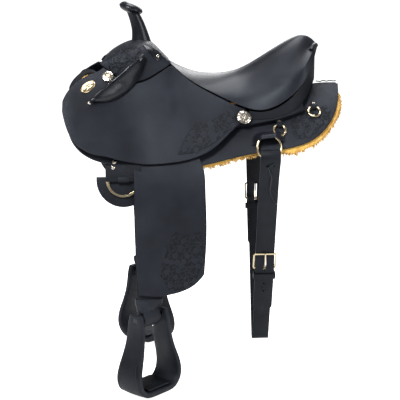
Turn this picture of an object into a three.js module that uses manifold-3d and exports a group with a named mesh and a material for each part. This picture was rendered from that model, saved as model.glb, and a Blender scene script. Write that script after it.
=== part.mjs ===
// Western saddle with a tall horn, bucking rolls, fenders and a flank cinch.
// Millimetres. +X runs to the tail, +Z is up and the near (left) side is -Y.
// The origin is on the centre plane, level with the bearing line of the tree bars.
import * as THREE from 'three';
import { mergeVertices } from 'three/addons/utils/BufferGeometryUtils.js';
import Module from 'manifold-3d';

const wasm = await Module();
wasm.setup();

// ---- The horse's back: a leaning section, lifted over the withers and a little at the croup.
const BACK_HALF = 56;          // half width of the back at the bearing line
const BACK_LEAN = 40;          // degrees, slope of the back at the bearing line
const BACK_R = 460;            // radius of the flank
const BELLY_R = 230;           // radius lower down, where the flank turns upright
const BELLY_START = 150;       // distance down the flank where the tighter radius starts
const WITHERS_RISE = 115;
const WITHERS_START = 150;
const WITHERS_RUN = 200;
const CROUP_RISE = 22;
const CROUP_START = 60;
const CROUP_RUN = 300;

// ---- Clearances and the stack of layers, measured off the horse's back.
const CLEAR = 0.4;
const LAYER_GAP = 1.8;         // between two leathers that lie on each other
const FLEECE_T = 12;
const SKIRT_T = 5;
const JOCKEY_T = 4.5;
const FENDER_T = 3.6;
const STRAP_T = 3;
const SWING_GAP = 4.2;         // free space each side of the swinging fender
const SKIRT_IN = FLEECE_T + LAYER_GAP;
const SKIRT_OUT = SKIRT_IN + SKIRT_T;
const STRAP_IN = SKIRT_OUT + SWING_GAP;
const STRAP_OUT = STRAP_IN + STRAP_T;
const FENDER_IN = STRAP_OUT + LAYER_GAP;
const FENDER_OUT = FENDER_IN + FENDER_T;
const JOCKEY_IN = FENDER_OUT + SWING_GAP;
const JOCKEY_OUT = JOCKEY_IN + JOCKEY_T;
const BAR_IN = SKIRT_OUT + LAYER_GAP;
const BAR_T = 14;

// ---- Seat.
const SEAT_LEATHER_T = 4;
const SEAT_PAD_T = 9;
const STRAINER_T = 2;
const SEAT_HALF = 125;         // half width across the cantle wings
const CANTLE_HEIGHT = 206;
const SEAT_LOW = 104;

// ---- Fork, horn and bucking rolls.
const SWELL_LEATHER_T = 4;
const FORK_T = 26;
const HORN_CAP_R = 30;
const HORN_CAP_T = 19;
const HORN_CAP_TILT = 20;      // degrees, the cap leans to the rider
const HORN_NECK_R = 17;
const HORN_WRAP_T = 4;
const TENON_R = 11;
const POLEY_BULGE = 32;

// ---- Fender, stirrup leather and stirrup.
const FENDER_PIVOT_X = -112;
const FENDER_PIVOT_S = 88;
const FENDER_TOP = 96;
const STRAP_W = 60;
const STIRRUP_TURN = 45;       // degrees, how far the stirrup is turned to the rider's foot
const BOLT_DROP = -499;
const BOLT_R = 5;
const ROLLER_R = 9;
const RUN_GAP = 0.5;
const STIRRUP_GAP = STRAP_W + 8; // clear width between the arms at the bolt
const STIRRUP_BELL = 66;       // half width of the stirrup at its widest, on its centre line
const STIRRUP_TALL = 178;      // bolt to the middle of the tread
const ARM_T = 13;
const TREAD_T = 18;
const ARM_DEPTH = 46;
const TREAD_DEPTH = 74;
const HOBBLE_H = 30;

// ---- Rigging, flank cinch and hardware.
const RING_R = 31;
const RING_WIRE = 3.6;
const RING_X = 165;
const RING_S = 126;            // ring centre, down the flank and off the horse
const RING_H = 30;
const RING_TILT = 20;          // degrees, the ring leans with the skirt
const BILLET_W = 51;
const BILLET_T = 3.6;
const CINCH_W = 45;
const CINCH_T = 4;
const CINCH_FOLD_R = 12;
const CINCH_DEPTH = -636;
const BUCKLE_BAR = 4;
const BUCKLE_TALL = 48;
const NEAR_DROP = 284;         // foot of the ring to the top bar of the buckle
const OFF_DROP = 128;
const TAIL_LENGTH = 150;       // billet tail below the buckle
const TONGUE_R = 1.7;
const DEE_R = 45;
const DEE_BAND = 8;
const DEE_T = 4.5;
const BAG_DEE_W = 37;
const BAG_DEE_H = 34;
const BAG_DEE_T = 4;
const BAG_DEE_BAND = 5.5;
const CONCHO_R = 18;
const FRONT_CONCHO_R = 15.5;
const LACE_R = 1.6;

const LOOK = {
  leather: new THREE.MeshStandardMaterial({ color: 0x17181c, roughness: 0.42, metalness: 0 }),
  seat: new THREE.MeshStandardMaterial({ color: 0x1d1f25, roughness: 0.38, metalness: 0 }),
  fleece: new THREE.MeshStandardMaterial({ color: 0xd79a2e, roughness: 0.95, metalness: 0 }),
  wood: new THREE.MeshStandardMaterial({ color: 0xb08a58, roughness: 0.8, metalness: 0 }),
  foam: new THREE.MeshStandardMaterial({ color: 0x8d8f92, roughness: 0.95, metalness: 0 }),
  steel: new THREE.MeshStandardMaterial({ color: 0xcfc8b8, roughness: 0.25, metalness: 1 }),
};

const rad = (degrees) => degrees * Math.PI / 180;
const lerp = (a, b, t) => a + (b - a) * t;
const clamp01 = (t) => Math.min(1, Math.max(0, t));
const smooth = (t) => clamp01(t) ** 2 * (3 - 2 * clamp01(t));
const vec = (x, y, z) => new THREE.Vector3(x, y, z);

// ---- Back surface ---------------------------------------------------------------------------

function rise(x) {
  return WITHERS_RISE * smooth((-x - WITHERS_START) / WITHERS_RUN)
    + CROUP_RISE * smooth((x - CROUP_START) / CROUP_RUN);
}

// Section of the back: s runs down the flank from the bearing line.
function section(s) {
  const lean = rad(BACK_LEAN);
  const turn = lean + BELLY_START / BACK_R;
  if (s <= BELLY_START) {
    const slope = lean + s / BACK_R;
    const y = BACK_HALF + BACK_R * (Math.sin(slope) - Math.sin(lean));
    return { y, z: BACK_R * (Math.cos(slope) - Math.cos(lean)), slope };
  }
  const low = section(BELLY_START);
  const slope = Math.min(Math.PI / 2, turn + (s - BELLY_START) / BELLY_R);
  const upright = BELLY_START + BELLY_R * (Math.PI / 2 - turn);
  const y = low.y + BELLY_R * (Math.sin(slope) - Math.sin(turn));
  const z = low.z + BELLY_R * (Math.cos(slope) - Math.cos(turn)) - Math.max(0, s - upright);
  return { y, z, slope };
}

// Point on the near side at x, s down the flank and h off the horse.
function onBack(x, s, h) {
  const c = section(s);
  return vec(x, -(c.y + h * Math.sin(c.slope)), rise(x) + c.z + h * Math.cos(c.slope));
}

// Height of the surface h off the horse, above the point x, y of either side.
function backZ(x, y, h) {
  let low = -70;
  let high = 260;
  for (let k = 0; k < 40; k += 1) {
    const mid = (low + high) / 2;
    if (-onBack(x, mid, h).y < Math.abs(y)) low = mid;
    else high = mid;
  }
  return onBack(x, low, h).z;
}

// Local axes on the near side: X along the horse, Y up the flank, Z away from the horse.
function seatOnBack(x, s, h) {
  const slope = section(s).slope;
  const m = new THREE.Matrix4().makeRotationX(slope);
  return m.setPosition(onBack(x, s, h));
}

// ---- Solids from grids ----------------------------------------------------------------------

// Closed solid between two grids of points of the same size.
function slab(outer, inner) {
  const rows = outer.length;
  const cols = outer[0].length;
  const points = [...outer.flat(), ...inner.flat()];
  const at = (side, i, j) => side * rows * cols + i * cols + j;
  const index = [];
  const quad = (a, b, c, d) => index.push(a, b, c, a, c, d);
  for (let i = 0; i < rows - 1; i += 1) {
    for (let j = 0; j < cols - 1; j += 1) {
      quad(at(0, i, j), at(0, i, j + 1), at(0, i + 1, j + 1), at(0, i + 1, j));
      quad(at(1, i, j), at(1, i + 1, j), at(1, i + 1, j + 1), at(1, i, j + 1));
    }
  }
  const loop = [];
  for (let j = 0; j < cols - 1; j += 1) loop.push([0, j]);
  for (let i = 0; i < rows - 1; i += 1) loop.push([i, cols - 1]);
  for (let j = cols - 1; j > 0; j -= 1) loop.push([rows - 1, j]);
  for (let i = rows - 1; i > 0; i -= 1) loop.push([i, 0]);
  loop.forEach(([i, j], k) => {
    const [m, n] = loop[(k + 1) % loop.length];
    quad(at(0, m, n), at(0, i, j), at(1, i, j), at(1, m, n));
  });
  return facingOut(points, index);
}

function facingOut(points, index) {
  let volume = 0;
  for (let k = 0; k < index.length; k += 3) {
    const [a, b, c] = [points[index[k]], points[index[k + 1]], points[index[k + 2]]];
    volume += a.dot(b.clone().cross(c));
  }
  if (volume < 0) index.reverse();
  const geometry = new THREE.BufferGeometry().setFromPoints(points);
  geometry.setIndex(index);
  return geometry;
}

// Solid through closed sections of the same number of points, with flat ends.
function loft(sections) {
  const count = sections[0].length;
  const points = sections.flat();
  const index = [];
  for (let i = 0; i < sections.length - 1; i += 1) {
    for (let j = 0; j < count; j += 1) {
      const a = i * count + j;
      const b = i * count + (j + 1) % count;
      index.push(a, b, b + count, a, b + count, a + count);
    }
  }
  const last = (sections.length - 1) * count;
  for (let j = 1; j < count - 1; j += 1) {
    index.push(0, j + 1, j, last, last + j, last + j + 1);
  }
  return facingOut(points, index);
}

function spline(points, t) {
  return new THREE.CatmullRomCurve3(points, false, 'centripetal').getPoint(clamp01(t));
}

// Smooth grid through stations, each a list of the same number of points.
function stationGrid(stations, rows, cols) {
  const dense = stations.map((s) => Array.from({ length: cols + 1 }, (_, j) => spline(s, j / cols)));
  const column = (j) => dense.map((row) => row[j]);
  return Array.from({ length: rows + 1 }, (_, i) => Array.from(
    { length: cols + 1 },
    (__, j) => new THREE.CatmullRomCurve3(column(j), false, 'centripetal').getPoint(i / rows),
  ));
}

function gridNormal(grid, i, j) {
  const rows = grid.length - 1;
  const cols = grid[0].length - 1;
  const along = grid[Math.min(rows, i + 1)][j].clone().sub(grid[Math.max(0, i - 1)][j]);
  const across = grid[i][Math.min(cols, j + 1)].clone().sub(grid[i][Math.max(0, j - 1)]);
  return along.cross(across).normalize();
}

// The grid moved by a distance along its own normals.
function offset(grid, distance) {
  return grid.map((row, i) => row.map((p, j) => p.clone().addScaledVector(gridNormal(grid, i, j), distance)));
}

// Leather laid on the back between two edge lines of [x, s] points, from h0 to h1 off the horse.
function laid(top, bottom, h0, h1, rows, cols) {
  const line = (list) => new THREE.CatmullRomCurve3(list.map(([x, s]) => vec(x, s, 0)), false, 'centripetal')
    .getSpacedPoints(rows);
  const upper = line(top);
  const lower = line(bottom);
  const grid = (h) => upper.map((a, i) => Array.from({ length: cols + 1 }, (_, j) => onBack(
    lerp(a.x, lower[i].x, j / cols),
    lerp(a.y, lower[i].y, j / cols),
    h,
  )));
  return slab(grid(h1), grid(h0));
}

// ---- Booleans -------------------------------------------------------------------------------

function toSolid(geometry) {
  const bare = geometry.clone();
  bare.deleteAttribute('normal');
  bare.deleteAttribute('uv');
  const merged = mergeVertices(bare.index ? bare.toNonIndexed() : bare, 1e-4);
  return new wasm.Manifold(new wasm.Mesh({
    numProp: 3,
    vertProperties: new Float32Array(merged.attributes.position.array),
    triVerts: new Uint32Array(merged.index.array),
  }));
}

function toGeometry(solid) {
  const mesh = solid.getMesh();
  const geometry = new THREE.BufferGeometry();
  geometry.setAttribute('position', new THREE.BufferAttribute(new Float32Array(mesh.vertProperties), 3));
  geometry.setIndex(new THREE.BufferAttribute(new Uint32Array(mesh.triVerts), 1));
  return geometry;
}

function cut(geometry, ...tools) {
  return toGeometry(tools.reduce((solid, tool) => solid.subtract(toSolid(tool)), toSolid(geometry)));
}

function join(...pieces) {
  const [first, ...rest] = pieces.map(toSolid);
  return toGeometry(rest.reduce((solid, piece) => solid.add(piece), first));
}

function cylinderX(radius, length, sides = 16) {
  return new THREE.CylinderGeometry(radius, radius, length, sides).rotateZ(Math.PI / 2);
}

// Rounded rectangle, centred.
function roundedRect(width, height, corner) {
  const w = width / 2;
  const h = height / 2;
  const shape = new THREE.Shape();
  shape.moveTo(w - corner, -h);
  shape.absarc(w - corner, -h + corner, corner, -Math.PI / 2, 0);
  shape.absarc(w - corner, h - corner, corner, 0, Math.PI / 2);
  shape.absarc(-w + corner, h - corner, corner, Math.PI / 2, Math.PI);
  shape.absarc(-w + corner, -h + corner, corner, Math.PI, Math.PI * 1.5);
  return shape;
}

function frameShape(width, height, corner, band) {
  const shape = roundedRect(width, height, corner);
  shape.holes.push(roundedRect(width - 2 * band, height - 2 * band, Math.max(0.8, corner - band)));
  return shape;
}

// ---- Scene ----------------------------------------------------------------------------------

const saddle = new THREE.Group();
const nearSide = new THREE.Group();
const offSide = new THREE.Group();
offSide.scale.y = -1;
saddle.add(nearSide, offSide);

function part(group, name, look, geometry) {
  const mesh = new THREE.Mesh(geometry, LOOK[look]);
  mesh.name = name;
  group.add(mesh);
  return mesh;
}

// ---- Fleece and skirts ----------------------------------------------------------------------

const SKIRT_TOP = [[-344, 120], [-330, 60], [-300, -5], [-262, -22], [-120, -18], [0, -18], [120, -22],
  [230, -40], [300, -66], [368, -66]];
const SKIRT_BOTTOM = [[-347, 155], [-337, 203], [-313, 225], [-276, 222], [-245, 203], [-200, 194],
  [-100, 178], [1, 159], [117, 134], [220, 129], [272, 119], [314, 89], [335, 61], [353, 21], [364, -30]];
const FLEECE_TOP = [[-336, 120], [-322, 62], [-292, 0], [-255, -22], [-120, -20], [0, -20], [120, -24],
  [230, -42], [300, -62], [364, -60]];
const FLEECE_BOTTOM = [[-338, 150], [-327, 190], [-305, 204], [-266, 198], [-200, 188], [-100, 176], [4, 165],
  [117, 137], [165, 131], [208, 140], [236, 143], [266, 134], [303, 116], [331, 82], [361, 30], [367, -30]];

function addSkirts(group, side) {
  part(group, `fleece_${side}`, 'fleece', laid(FLEECE_TOP, FLEECE_BOTTOM, 0, FLEECE_T, 32, 5));
  part(group, `skirt_${side}`, 'leather', laid(SKIRT_TOP, SKIRT_BOTTOM, SKIRT_IN, SKIRT_OUT, 32, 5));
}

// Thong that laces the two skirts together behind the cantle.
function skirtLace() {
  const start = 312;
  const pitch = 9;
  const reach = 9;
  const points = Array.from({ length: 7 }, (_, k) => {
    const x = start + k * pitch;
    const y = (k % 2 ? -1 : 1) * reach;
    return vec(x, y, backZ(x, y, SKIRT_OUT + LACE_R + 1.2) + 0.6);
  });
  return tube(points, LACE_R, 24, 6);
}

function tube(points, radius, steps, sides) {
  const path = new THREE.CatmullRomCurve3(points, false, 'centripetal');
  const ring = new THREE.Shape(Array.from({ length: sides }, (_, k) => new THREE.Vector2(
    radius * Math.cos(2 * Math.PI * k / sides),
    radius * Math.sin(2 * Math.PI * k / sides),
  )));
  return new THREE.ExtrudeGeometry(ring, { steps, bevelEnabled: false, extrudePath: path });
}

// ---- Seat -----------------------------------------------------------------------------------

// Edge of the seat on the near side, front to back, and the point of the centre line it faces.
const SEAT_EDGE = [[-79, -55, 134], [-44, -72, 103], [-6, -88, 79], [49, -104, 52], [108, -118, 25],
  [150, -SEAT_HALF, 17], [190, -SEAT_HALF + 1, 28], [230, -SEAT_HALF + 9, 54], [262, -98, 84],
  [288, -68, 125], [303, -36, 160], [311, -12, 175]];
const SEAT_SPINE = [[-80, 138], [-45, 120], [-6, 108], [45, SEAT_LOW + 1], [95, 114], [135, 134],
  [170, 156], [205, 178], [235, 195], [262, CANTLE_HEIGHT], [288, 202], [309, 181]];
const CANTLE_FROM = 4;         // station where the rolled rim starts
const RIM_HEIGHT = 11;
const DISH_DEPTH = 9;

function seatStation(k) {
  const [ex, ey, ez] = SEAT_EDGE[k];
  const [cx, cz] = SEAT_SPINE[k];
  const rim = smooth((k - CANTLE_FROM + 1) / 3) * smooth((SEAT_EDGE.length - k) / 2);
  const across = (u) => {
    const v = Math.abs(u);
    const bump = RIM_HEIGHT * Math.exp(-(((v - 0.87) / 0.1) ** 2))
      - DISH_DEPTH * Math.exp(-(((v - 0.6) / 0.18) ** 2));
    const z = cz - (cz - ez) * v ** 2 + rim * bump;
    return vec(lerp(cx, ex, v ** 1.4), Math.sign(u) * Math.abs(ey) * v, z);
  };
  return [-1, -0.87, -0.7, -0.5, -0.25, 0, 0.25, 0.5, 0.7, 0.87, 1].map(across);
}

const seatTop = stationGrid(SEAT_EDGE.map((_, k) => seatStation(k)), 16, 12);
const inset = (grid, front, rear, cols) => grid.slice(front, grid.length - rear)
  .map((row) => row.slice(cols, row.length - cols));

// The inner edge of a leather drawn in from its outer edge, so that it meets its neighbour.
function chamfer(row) {
  const end = row.length - 1;
  return row.map((p, j) => (j === 0 || j === end ? p.clone().lerp(row[j === 0 ? 1 : end - 1], 0.4) : p));
}

function addSeat() {
  const under = offset(seatTop, -SEAT_LEATHER_T).map(chamfer);
  part(saddle, 'seat_cover', 'seat', slab(seatTop, under));
  const padTop = offset(seatTop, -SEAT_LEATHER_T - CLEAR);
  const padUnder = offset(seatTop, -SEAT_LEATHER_T - CLEAR - SEAT_PAD_T);
  part(saddle, 'seat_pad', 'foam', slab(inset(padTop, 1, 3, 2), inset(padUnder, 1, 3, 2)));
  const plateTop = offset(seatTop, -SEAT_LEATHER_T - SEAT_PAD_T - 2 * CLEAR);
  const plateUnder = offset(seatTop, -SEAT_LEATHER_T - SEAT_PAD_T - 2 * CLEAR - STRAINER_T);
  part(saddle, 'strainer_plate', 'steel', slab(inset(plateTop, 2, 4, 3), inset(plateUnder, 2, 4, 3)));
}

// ---- Cantle ---------------------------------------------------------------------------------

function addCantle() {
  const depth = SEAT_LEATHER_T + SEAT_PAD_T + STRAINER_T + 3 * CLEAR + 2;
  const top = offset(seatTop, -depth).slice(8, 14).map((row) => row.slice(2, 11));
  const under = top.map((row) => row.map((p) => vec(p.x, p.y, backZ(p.x, p.y, BAR_IN + BAR_T + CLEAR + 2))));
  part(saddle, 'tree_cantle', 'wood', slab(top, under));
}

// ---- Tree bars ------------------------------------------------------------------------------

const BAR_TOP = [[-285, 2], [-200, 0], [-60, 4], [90, 4], [200, -2], [262, -10]];
const BAR_BOTTOM = [[-285, 56], [-200, 70], [-60, 70], [90, 62], [200, 52], [262, 36]];

function addTreeBar(group, side) {
  part(group, `tree_bar_${side}`, 'wood', laid(BAR_TOP, BAR_BOTTOM, BAR_IN, BAR_IN + BAR_T, 20, 3));
}

// ---- Fork, swell and horn -------------------------------------------------------------------

// Line where the swell cover meets the jockey, front to back.
const SHOULDER = [[-262, -70, 136], [-237, -84, 118], [-205, -94, 98], [-170, -96, 92], [-140, -90, 100],
  [-112, -78, 116], [-90, -64, 128], [-80, -56, 136]];
const SWELL_SPINE = [[-246, 152], [-237, 163], [-214, 179], [-182, 193], [-150, 194], [-126, 187],
  [-104, 164], [-84, 143]];

function swellStation(k) {
  const [ex, ey, ez] = SHOULDER[k];
  const [cx, cz] = SWELL_SPINE[k];
  const across = (u) => {
    const v = Math.abs(u);
    const z = cz - (cz - ez) * (0.35 * v ** 2 + 0.65 * v ** 4);
    return vec(lerp(cx, ex, v ** 2), Math.sign(u) * Math.abs(ey) * Math.sin(v * Math.PI / 2) ** 0.9, z);
  };
  return [-1, -0.85, -0.65, -0.35, 0, 0.35, 0.65, 0.85, 1].map(across);
}

const swellTop = stationGrid(SHOULDER.map((_, k) => swellStation(k)), 10, 12);

// Centre line and half sizes (along X, along Y) of the horn, base to head.
const HORN_LINE = [[-152, 172, 28, 24], [-153, 192, 26, 21], [-156, 210, 22, 18], [-161, 228, 20.5, 16.5],
  [-167, 246, 19, HORN_NECK_R - 1], [-174, 262, 18, HORN_NECK_R - 1]];

function hornSections(grow) {
  return HORN_LINE.map(([x, z, rx, ry]) => Array.from({ length: 16 }, (_, k) => {
    const a = 2 * Math.PI * k / 16;
    const along = (rx + grow) * Math.cos(a);
    const tilt = rad(HORN_CAP_TILT);
    return vec(x + along * Math.cos(tilt), (ry + grow) * Math.sin(a), z - along * Math.sin(tilt));
  }));
}

// Solid between a large and a small set of the same closed sections, open at both ends.
function sleeve(outer, inner) {
  const shut = (sections) => sections.map((ring) => [...ring, ring[0].clone()]);
  return slabRound(shut(outer), shut(inner));
}

// A slab that closes on itself: the first and last columns are the same points.
function slabRound(outer, inner) {
  const rows = outer.length;
  const cols = outer[0].length - 1;
  const points = [...outer.map((r) => r.slice(0, cols)).flat(), ...inner.map((r) => r.slice(0, cols)).flat()];
  const at = (side, i, j) => side * rows * cols + i * cols + (j % cols);
  const index = [];
  const quad = (a, b, c, d) => index.push(a, b, c, a, c, d);
  for (let j = 0; j < cols; j += 1) {
    for (let i = 0; i < rows - 1; i += 1) {
      quad(at(0, i, j), at(0, i, j + 1), at(0, i + 1, j + 1), at(0, i + 1, j));
      quad(at(1, i, j), at(1, i + 1, j), at(1, i + 1, j + 1), at(1, i, j + 1));
    }
    quad(at(0, 0, j), at(1, 0, j), at(1, 0, j + 1), at(0, 0, j + 1));
    quad(at(0, rows - 1, j), at(0, rows - 1, j + 1), at(1, rows - 1, j + 1), at(1, rows - 1, j));
  }
  return facingOut(points, index);
}

function hornCap() {
  const profile = [[0, -HORN_CAP_T * 0.45], [HORN_CAP_R * 0.72, -HORN_CAP_T * 0.4],
    [HORN_CAP_R * 0.94, -HORN_CAP_T * 0.18], [HORN_CAP_R, 0], [HORN_CAP_R * 0.95, HORN_CAP_T * 0.22],
    [HORN_CAP_R * 0.7, HORN_CAP_T * 0.43],
    [HORN_CAP_R * 0.35, HORN_CAP_T * 0.53], [0, HORN_CAP_T * 0.55]];
  const cap = new THREE.LatheGeometry(profile.map(([r, z]) => new THREE.Vector2(r, z)), 24);
  return cap.rotateX(Math.PI / 2).scale(1.0, 0.97, 1).rotateY(rad(HORN_CAP_TILT));
}

function addFork() {
  const cover = slab(swellTop, offset(swellTop, -SWELL_LEATHER_T));
  const neckHole = loft(hornSections(CLEAR));
  part(saddle, 'swell_cover', 'leather', cut(cover, neckHole));
  const woodTop = inset(offset(swellTop, -SWELL_LEATHER_T - CLEAR), 1, 1, 1);
  const foot = (p) => vec(p.x, p.y * 0.82, backZ(p.x, p.y * 0.82, BAR_IN + BAR_T + CLEAR));
  const outer = woodTop.map((row) => [foot(row[0]), ...row, foot(row[row.length - 1])]);
  const inner = outer.map((row) => row.map((p, j) => forkInner(p, j, row.length)));
  const holeR = TENON_R + CLEAR;
  const tenonHole = new THREE.CylinderGeometry(holeR, holeR, 120, 16).rotateX(Math.PI / 2);
  const base = HORN_LINE[1];
  tenonHole.translate(base[0], 0, base[1]);
  const neckSeat = loft(hornSections(CLEAR));
  part(saddle, 'tree_fork', 'wood', cut(slab(outer, inner), tenonHole, neckSeat));
}

// The arch under the fork, which keeps clear of the withers.
function forkInner(p, j, count) {
  const v = Math.abs(2 * j / (count - 1) - 1);
  const y = p.y * (1 - FORK_T / 85);
  const floor = backZ(p.x, y, BAR_IN + BAR_T + CLEAR);
  return vec(p.x, y, Math.max(floor, p.z - FORK_T * (1 - v ** 6)));
}

function addHorn() {
  const base = HORN_LINE[1];
  const head = HORN_LINE[HORN_LINE.length - 1];
  const tenon = new THREE.CylinderGeometry(TENON_R, TENON_R, 60, 16).rotateX(Math.PI / 2);
  tenon.translate(base[0], 0, base[1] - 14);
  const stem = loft(hornSections(-HORN_WRAP_T - CLEAR));
  part(saddle, 'horn_core', 'wood', join(stem, tenon));
  part(saddle, 'horn_wrap', 'leather', sleeve(hornSections(0), hornSections(-HORN_WRAP_T)));
  const cap = part(saddle, 'horn_cap', 'leather', hornCap());
  const lean = rad(HORN_CAP_TILT);
  const lift = HORN_CAP_T * 0.45 + CLEAR;
  const forward = 10;
  cap.position.set(
    head[0] + lift * Math.sin(lean) - forward * Math.cos(lean),
    0,
    head[1] + lift * Math.cos(lean) + forward * Math.sin(lean),
  );
}

// ---- Jockeys --------------------------------------------------------------------------------

// Back coordinates of a point: its polar place about the centre of the flank.
function toBack(p) {
  const y = -p.y - BACK_HALF + BACK_R * Math.sin(rad(BACK_LEAN));
  const z = p.z - rise(p.x) + BACK_R * Math.cos(rad(BACK_LEAN));
  return { x: p.x, s: BACK_R * (Math.atan2(y, z) - rad(BACK_LEAN)), h: Math.hypot(y, z) - BACK_R };
}

// Lower edge of the jockey as [x, s], and the front of its upper edge, both front to back.
const JOCKEY_BOTTOM = [[-355.5, 140], [-346, 181], [-324, 211], [-283, 212], [-250, 193], [-222, 181],
  [-190, 168], [-150, 163], [-118, 162], [-90, 160], [-62, 157], [-38, 152], [-5, 141], [28, 122],
  [60, 91], [88, 64], [113, 46]];
const JOCKEY_FRONT = [[-355, 113], [-345, 90], [-324, 58], [-290, -3]];
const SEAM = 4.6;                // butt gap between leathers that meet edge to edge

function jockeyTopEdge() {
  const point = ([x, y, z]) => vec(x, y, z);
  const front = JOCKEY_FRONT.map(([x, s]) => onBack(x, s, JOCKEY_OUT));
  const side = SEAT_EDGE.slice(0, CANTLE_FROM + 1);
  const between = [80, -112, 37];
  const seam = [...side.slice(0, CANTLE_FROM), between, side[CANTLE_FROM]];
  return [...front, ...SHOULDER.slice(0, -1).map(point), ...seam.map(point)];
}

function jockeyStation(top, [x, s]) {
  const from = toBack(top);
  const at = (q) => onBack(
    lerp(from.x, x, q),
    lerp(from.s, s, q),
    JOCKEY_OUT + (from.h - JOCKEY_OUT) * (1 - q) ** 2,
  );
  const start = SEAM / (2 * top.distanceTo(at(0.5)));
  return [0, 0.2, 0.4, 0.6, 0.8, 1].map((q) => at(lerp(start, 1, q)));
}

const topEdge = jockeyTopEdge();
const jockeyTop = stationGrid(JOCKEY_BOTTOM.map((low, k) => jockeyStation(topEdge[k], low)), 26, 6);

function addJockey(group, side) {
  part(group, `jockey_${side}`, 'leather', slab(jockeyTop, offset(jockeyTop, JOCKEY_T)));
}

// Surface of the near side seen from the side: its point and normal at x, z.
function sideFace(grid) {
  const faces = [];
  for (let i = 0; i < grid.length - 1; i += 1) {
    for (let j = 0; j < grid[0].length - 1; j += 1) {
      const [a, b, c, d] = [grid[i][j], grid[i][j + 1], grid[i + 1][j + 1], grid[i + 1][j]];
      faces.push([a, b, c], [a, c, d]);
    }
  }
  return faces.filter((f) => f.every((p) => p.y < -20));
}

const sideFaces = [...sideFace(jockeyTop), ...sideFace(swellTop)];

function onSide(x, z) {
  let best = null;
  for (const [a, b, c] of sideFaces) {
    const area = (b.x - a.x) * (c.z - a.z) - (c.x - a.x) * (b.z - a.z);
    const u = ((x - a.x) * (c.z - a.z) - (c.x - a.x) * (z - a.z)) / area;
    const v = ((b.x - a.x) * (z - a.z) - (x - a.x) * (b.z - a.z)) / area;
    const y = a.y + u * (b.y - a.y) + v * (c.y - a.y);
    const miss = Math.max(0, -u, -v, u + v - 1);
    if (!best || miss < best.miss - 1e-6 || (miss <= best.miss && y < best.point.y)) {
      const normal = b.clone().sub(a).cross(c.clone().sub(a)).normalize();
      if (normal.y > 0) normal.negate();
      best = { point: vec(x, y, z), normal, miss };
    }
  }
  return best;
}

// ---- Bucking rolls --------------------------------------------------------------------------

// Ridge and lower foot of the roll as [x, z], low tip to high tip.
const POLEY_RIDGE = [[-284, 53], [-264, 66], [-241, 82], [-220, 98], [-200, 115], [-180, 133], [-160, 150],
  [-148, 159]];
const POLEY_FOOT = [[-283, 48], [-262, 44], [-238, 46], [-217, 53], [-196, 65], [-176, 83], [-156, 109],
  [-141, 146]];

function poleyStation(k) {
  const along = Math.sin(Math.PI * (k + 0.6) / (POLEY_RIDGE.length + 0.2)) ** 0.7;
  const [rx, rz] = POLEY_RIDGE[k];
  const [fx, fz] = POLEY_FOOT[k];
  const profile = [[-0.16, 2.6], [-0.06, POLEY_BULGE * 0.72], [0.1, POLEY_BULGE], [0.35, POLEY_BULGE * 0.86],
    [0.65, POLEY_BULGE * 0.6], [0.88, POLEY_BULGE * 0.3], [1, 2.6]];
  return profile.map(([q, bulge]) => {
    const foot = onSide(lerp(rx, fx, q), lerp(rz, fz, q)).point;
    const crown = foot.clone().add(vec(0, -1.6 - Math.max(2, bulge * along), 0));
    return { foot: foot.clone().add(vec(0, -1.6, 0)), crown };
  });
}

function addPoley(group, side) {
  const stations = POLEY_RIDGE.map((_, k) => poleyStation(k));
  const pick = (key) => stations.map((row) => row.map((p) => p[key]));
  part(group, `poley_${side}`, 'seat', slab(pick('crown'), pick('foot')));
}

// ---- Cantle back ----------------------------------------------------------------------------

const BACK_TOP_INSET = 5;

function addCantleBack() {
  const behind = SEAT_EDGE.slice(CANTLE_FROM + 1);
  const start = vec(...SEAT_EDGE[CANTLE_FROM]).lerp(vec(...behind[0]), 0.25).toArray();
  const edge = [start, ...behind];
  const wall = (shift) => {
    const half = edge.map(([x, y, z]) => {
      const inward = BACK_TOP_INSET + shift;
      const px = x - inward * smooth((x - 230) / 70);
      const py = Math.min(-1, y + inward);
      const top = z - SEAT_LEATHER_T - 2;
      const low = backZ(px, py, BAR_IN + BAR_T + CLEAR);
      return [0, 0.5, 1].map((q) => vec(px, py, lerp(top, low, q)));
    });
    const mirrored = half.map((row) => row.map((p) => vec(p.x, -p.y, p.z))).reverse();
    return [...half, ...mirrored];
  };
  part(saddle, 'cantle_back', 'leather', slab(wall(0), wall(3)));
}

// ---- Stirrup leather, fender, hobble strap --------------------------------------------------

const FENDER_FRONT = [[-168, FENDER_TOP], [-176, 150], [-179, 178], [-180, 246], [-182, 346], [-178, 422],
  [-171, 478]];
const FENDER_BACK = [[-40, FENDER_TOP], [-12, 150], [-3, 169], [0, 242], [5, 315], [3, 367], [-2, 420]];
const FENDER_LOW = [[-171, 486], [-130, 489], [-92, 484], [-41, 469], [-15, 449], [-4, 432]];
const STRAP_FOOT_X = -146;
const STRAP_FOOT_S = 478;

// The fender hangs from its straight head to its swept lower edge.
function addFender(group, side) {
  const line = (list, count) => {
    const points = list.map(([x, s]) => vec(x, s, 0));
    return new THREE.CatmullRomCurve3(points, false, 'centripetal').getSpacedPoints(count);
  };
  const rows = 14;
  const cols = 5;
  const front = line(FENDER_FRONT, rows);
  const back = line(FENDER_BACK, rows);
  const low = line(FENDER_LOW, cols);
  const grid = (h) => front.map((a, i) => Array.from({ length: cols + 1 }, (_, j) => {
    const b = back[i];
    const q = j / cols;
    const sag = smooth((i / rows - 0.45) / 0.55);
    const x = lerp(lerp(a.x, b.x, q), low[j].x, sag);
    const s = lerp(lerp(a.y, b.y, q), low[j].y, sag * (i / rows));
    return onBack(x, s, h);
  }));
  part(group, `fender_${side}`, 'leather', slab(grid(FENDER_OUT), grid(FENDER_IN)));
}

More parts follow.
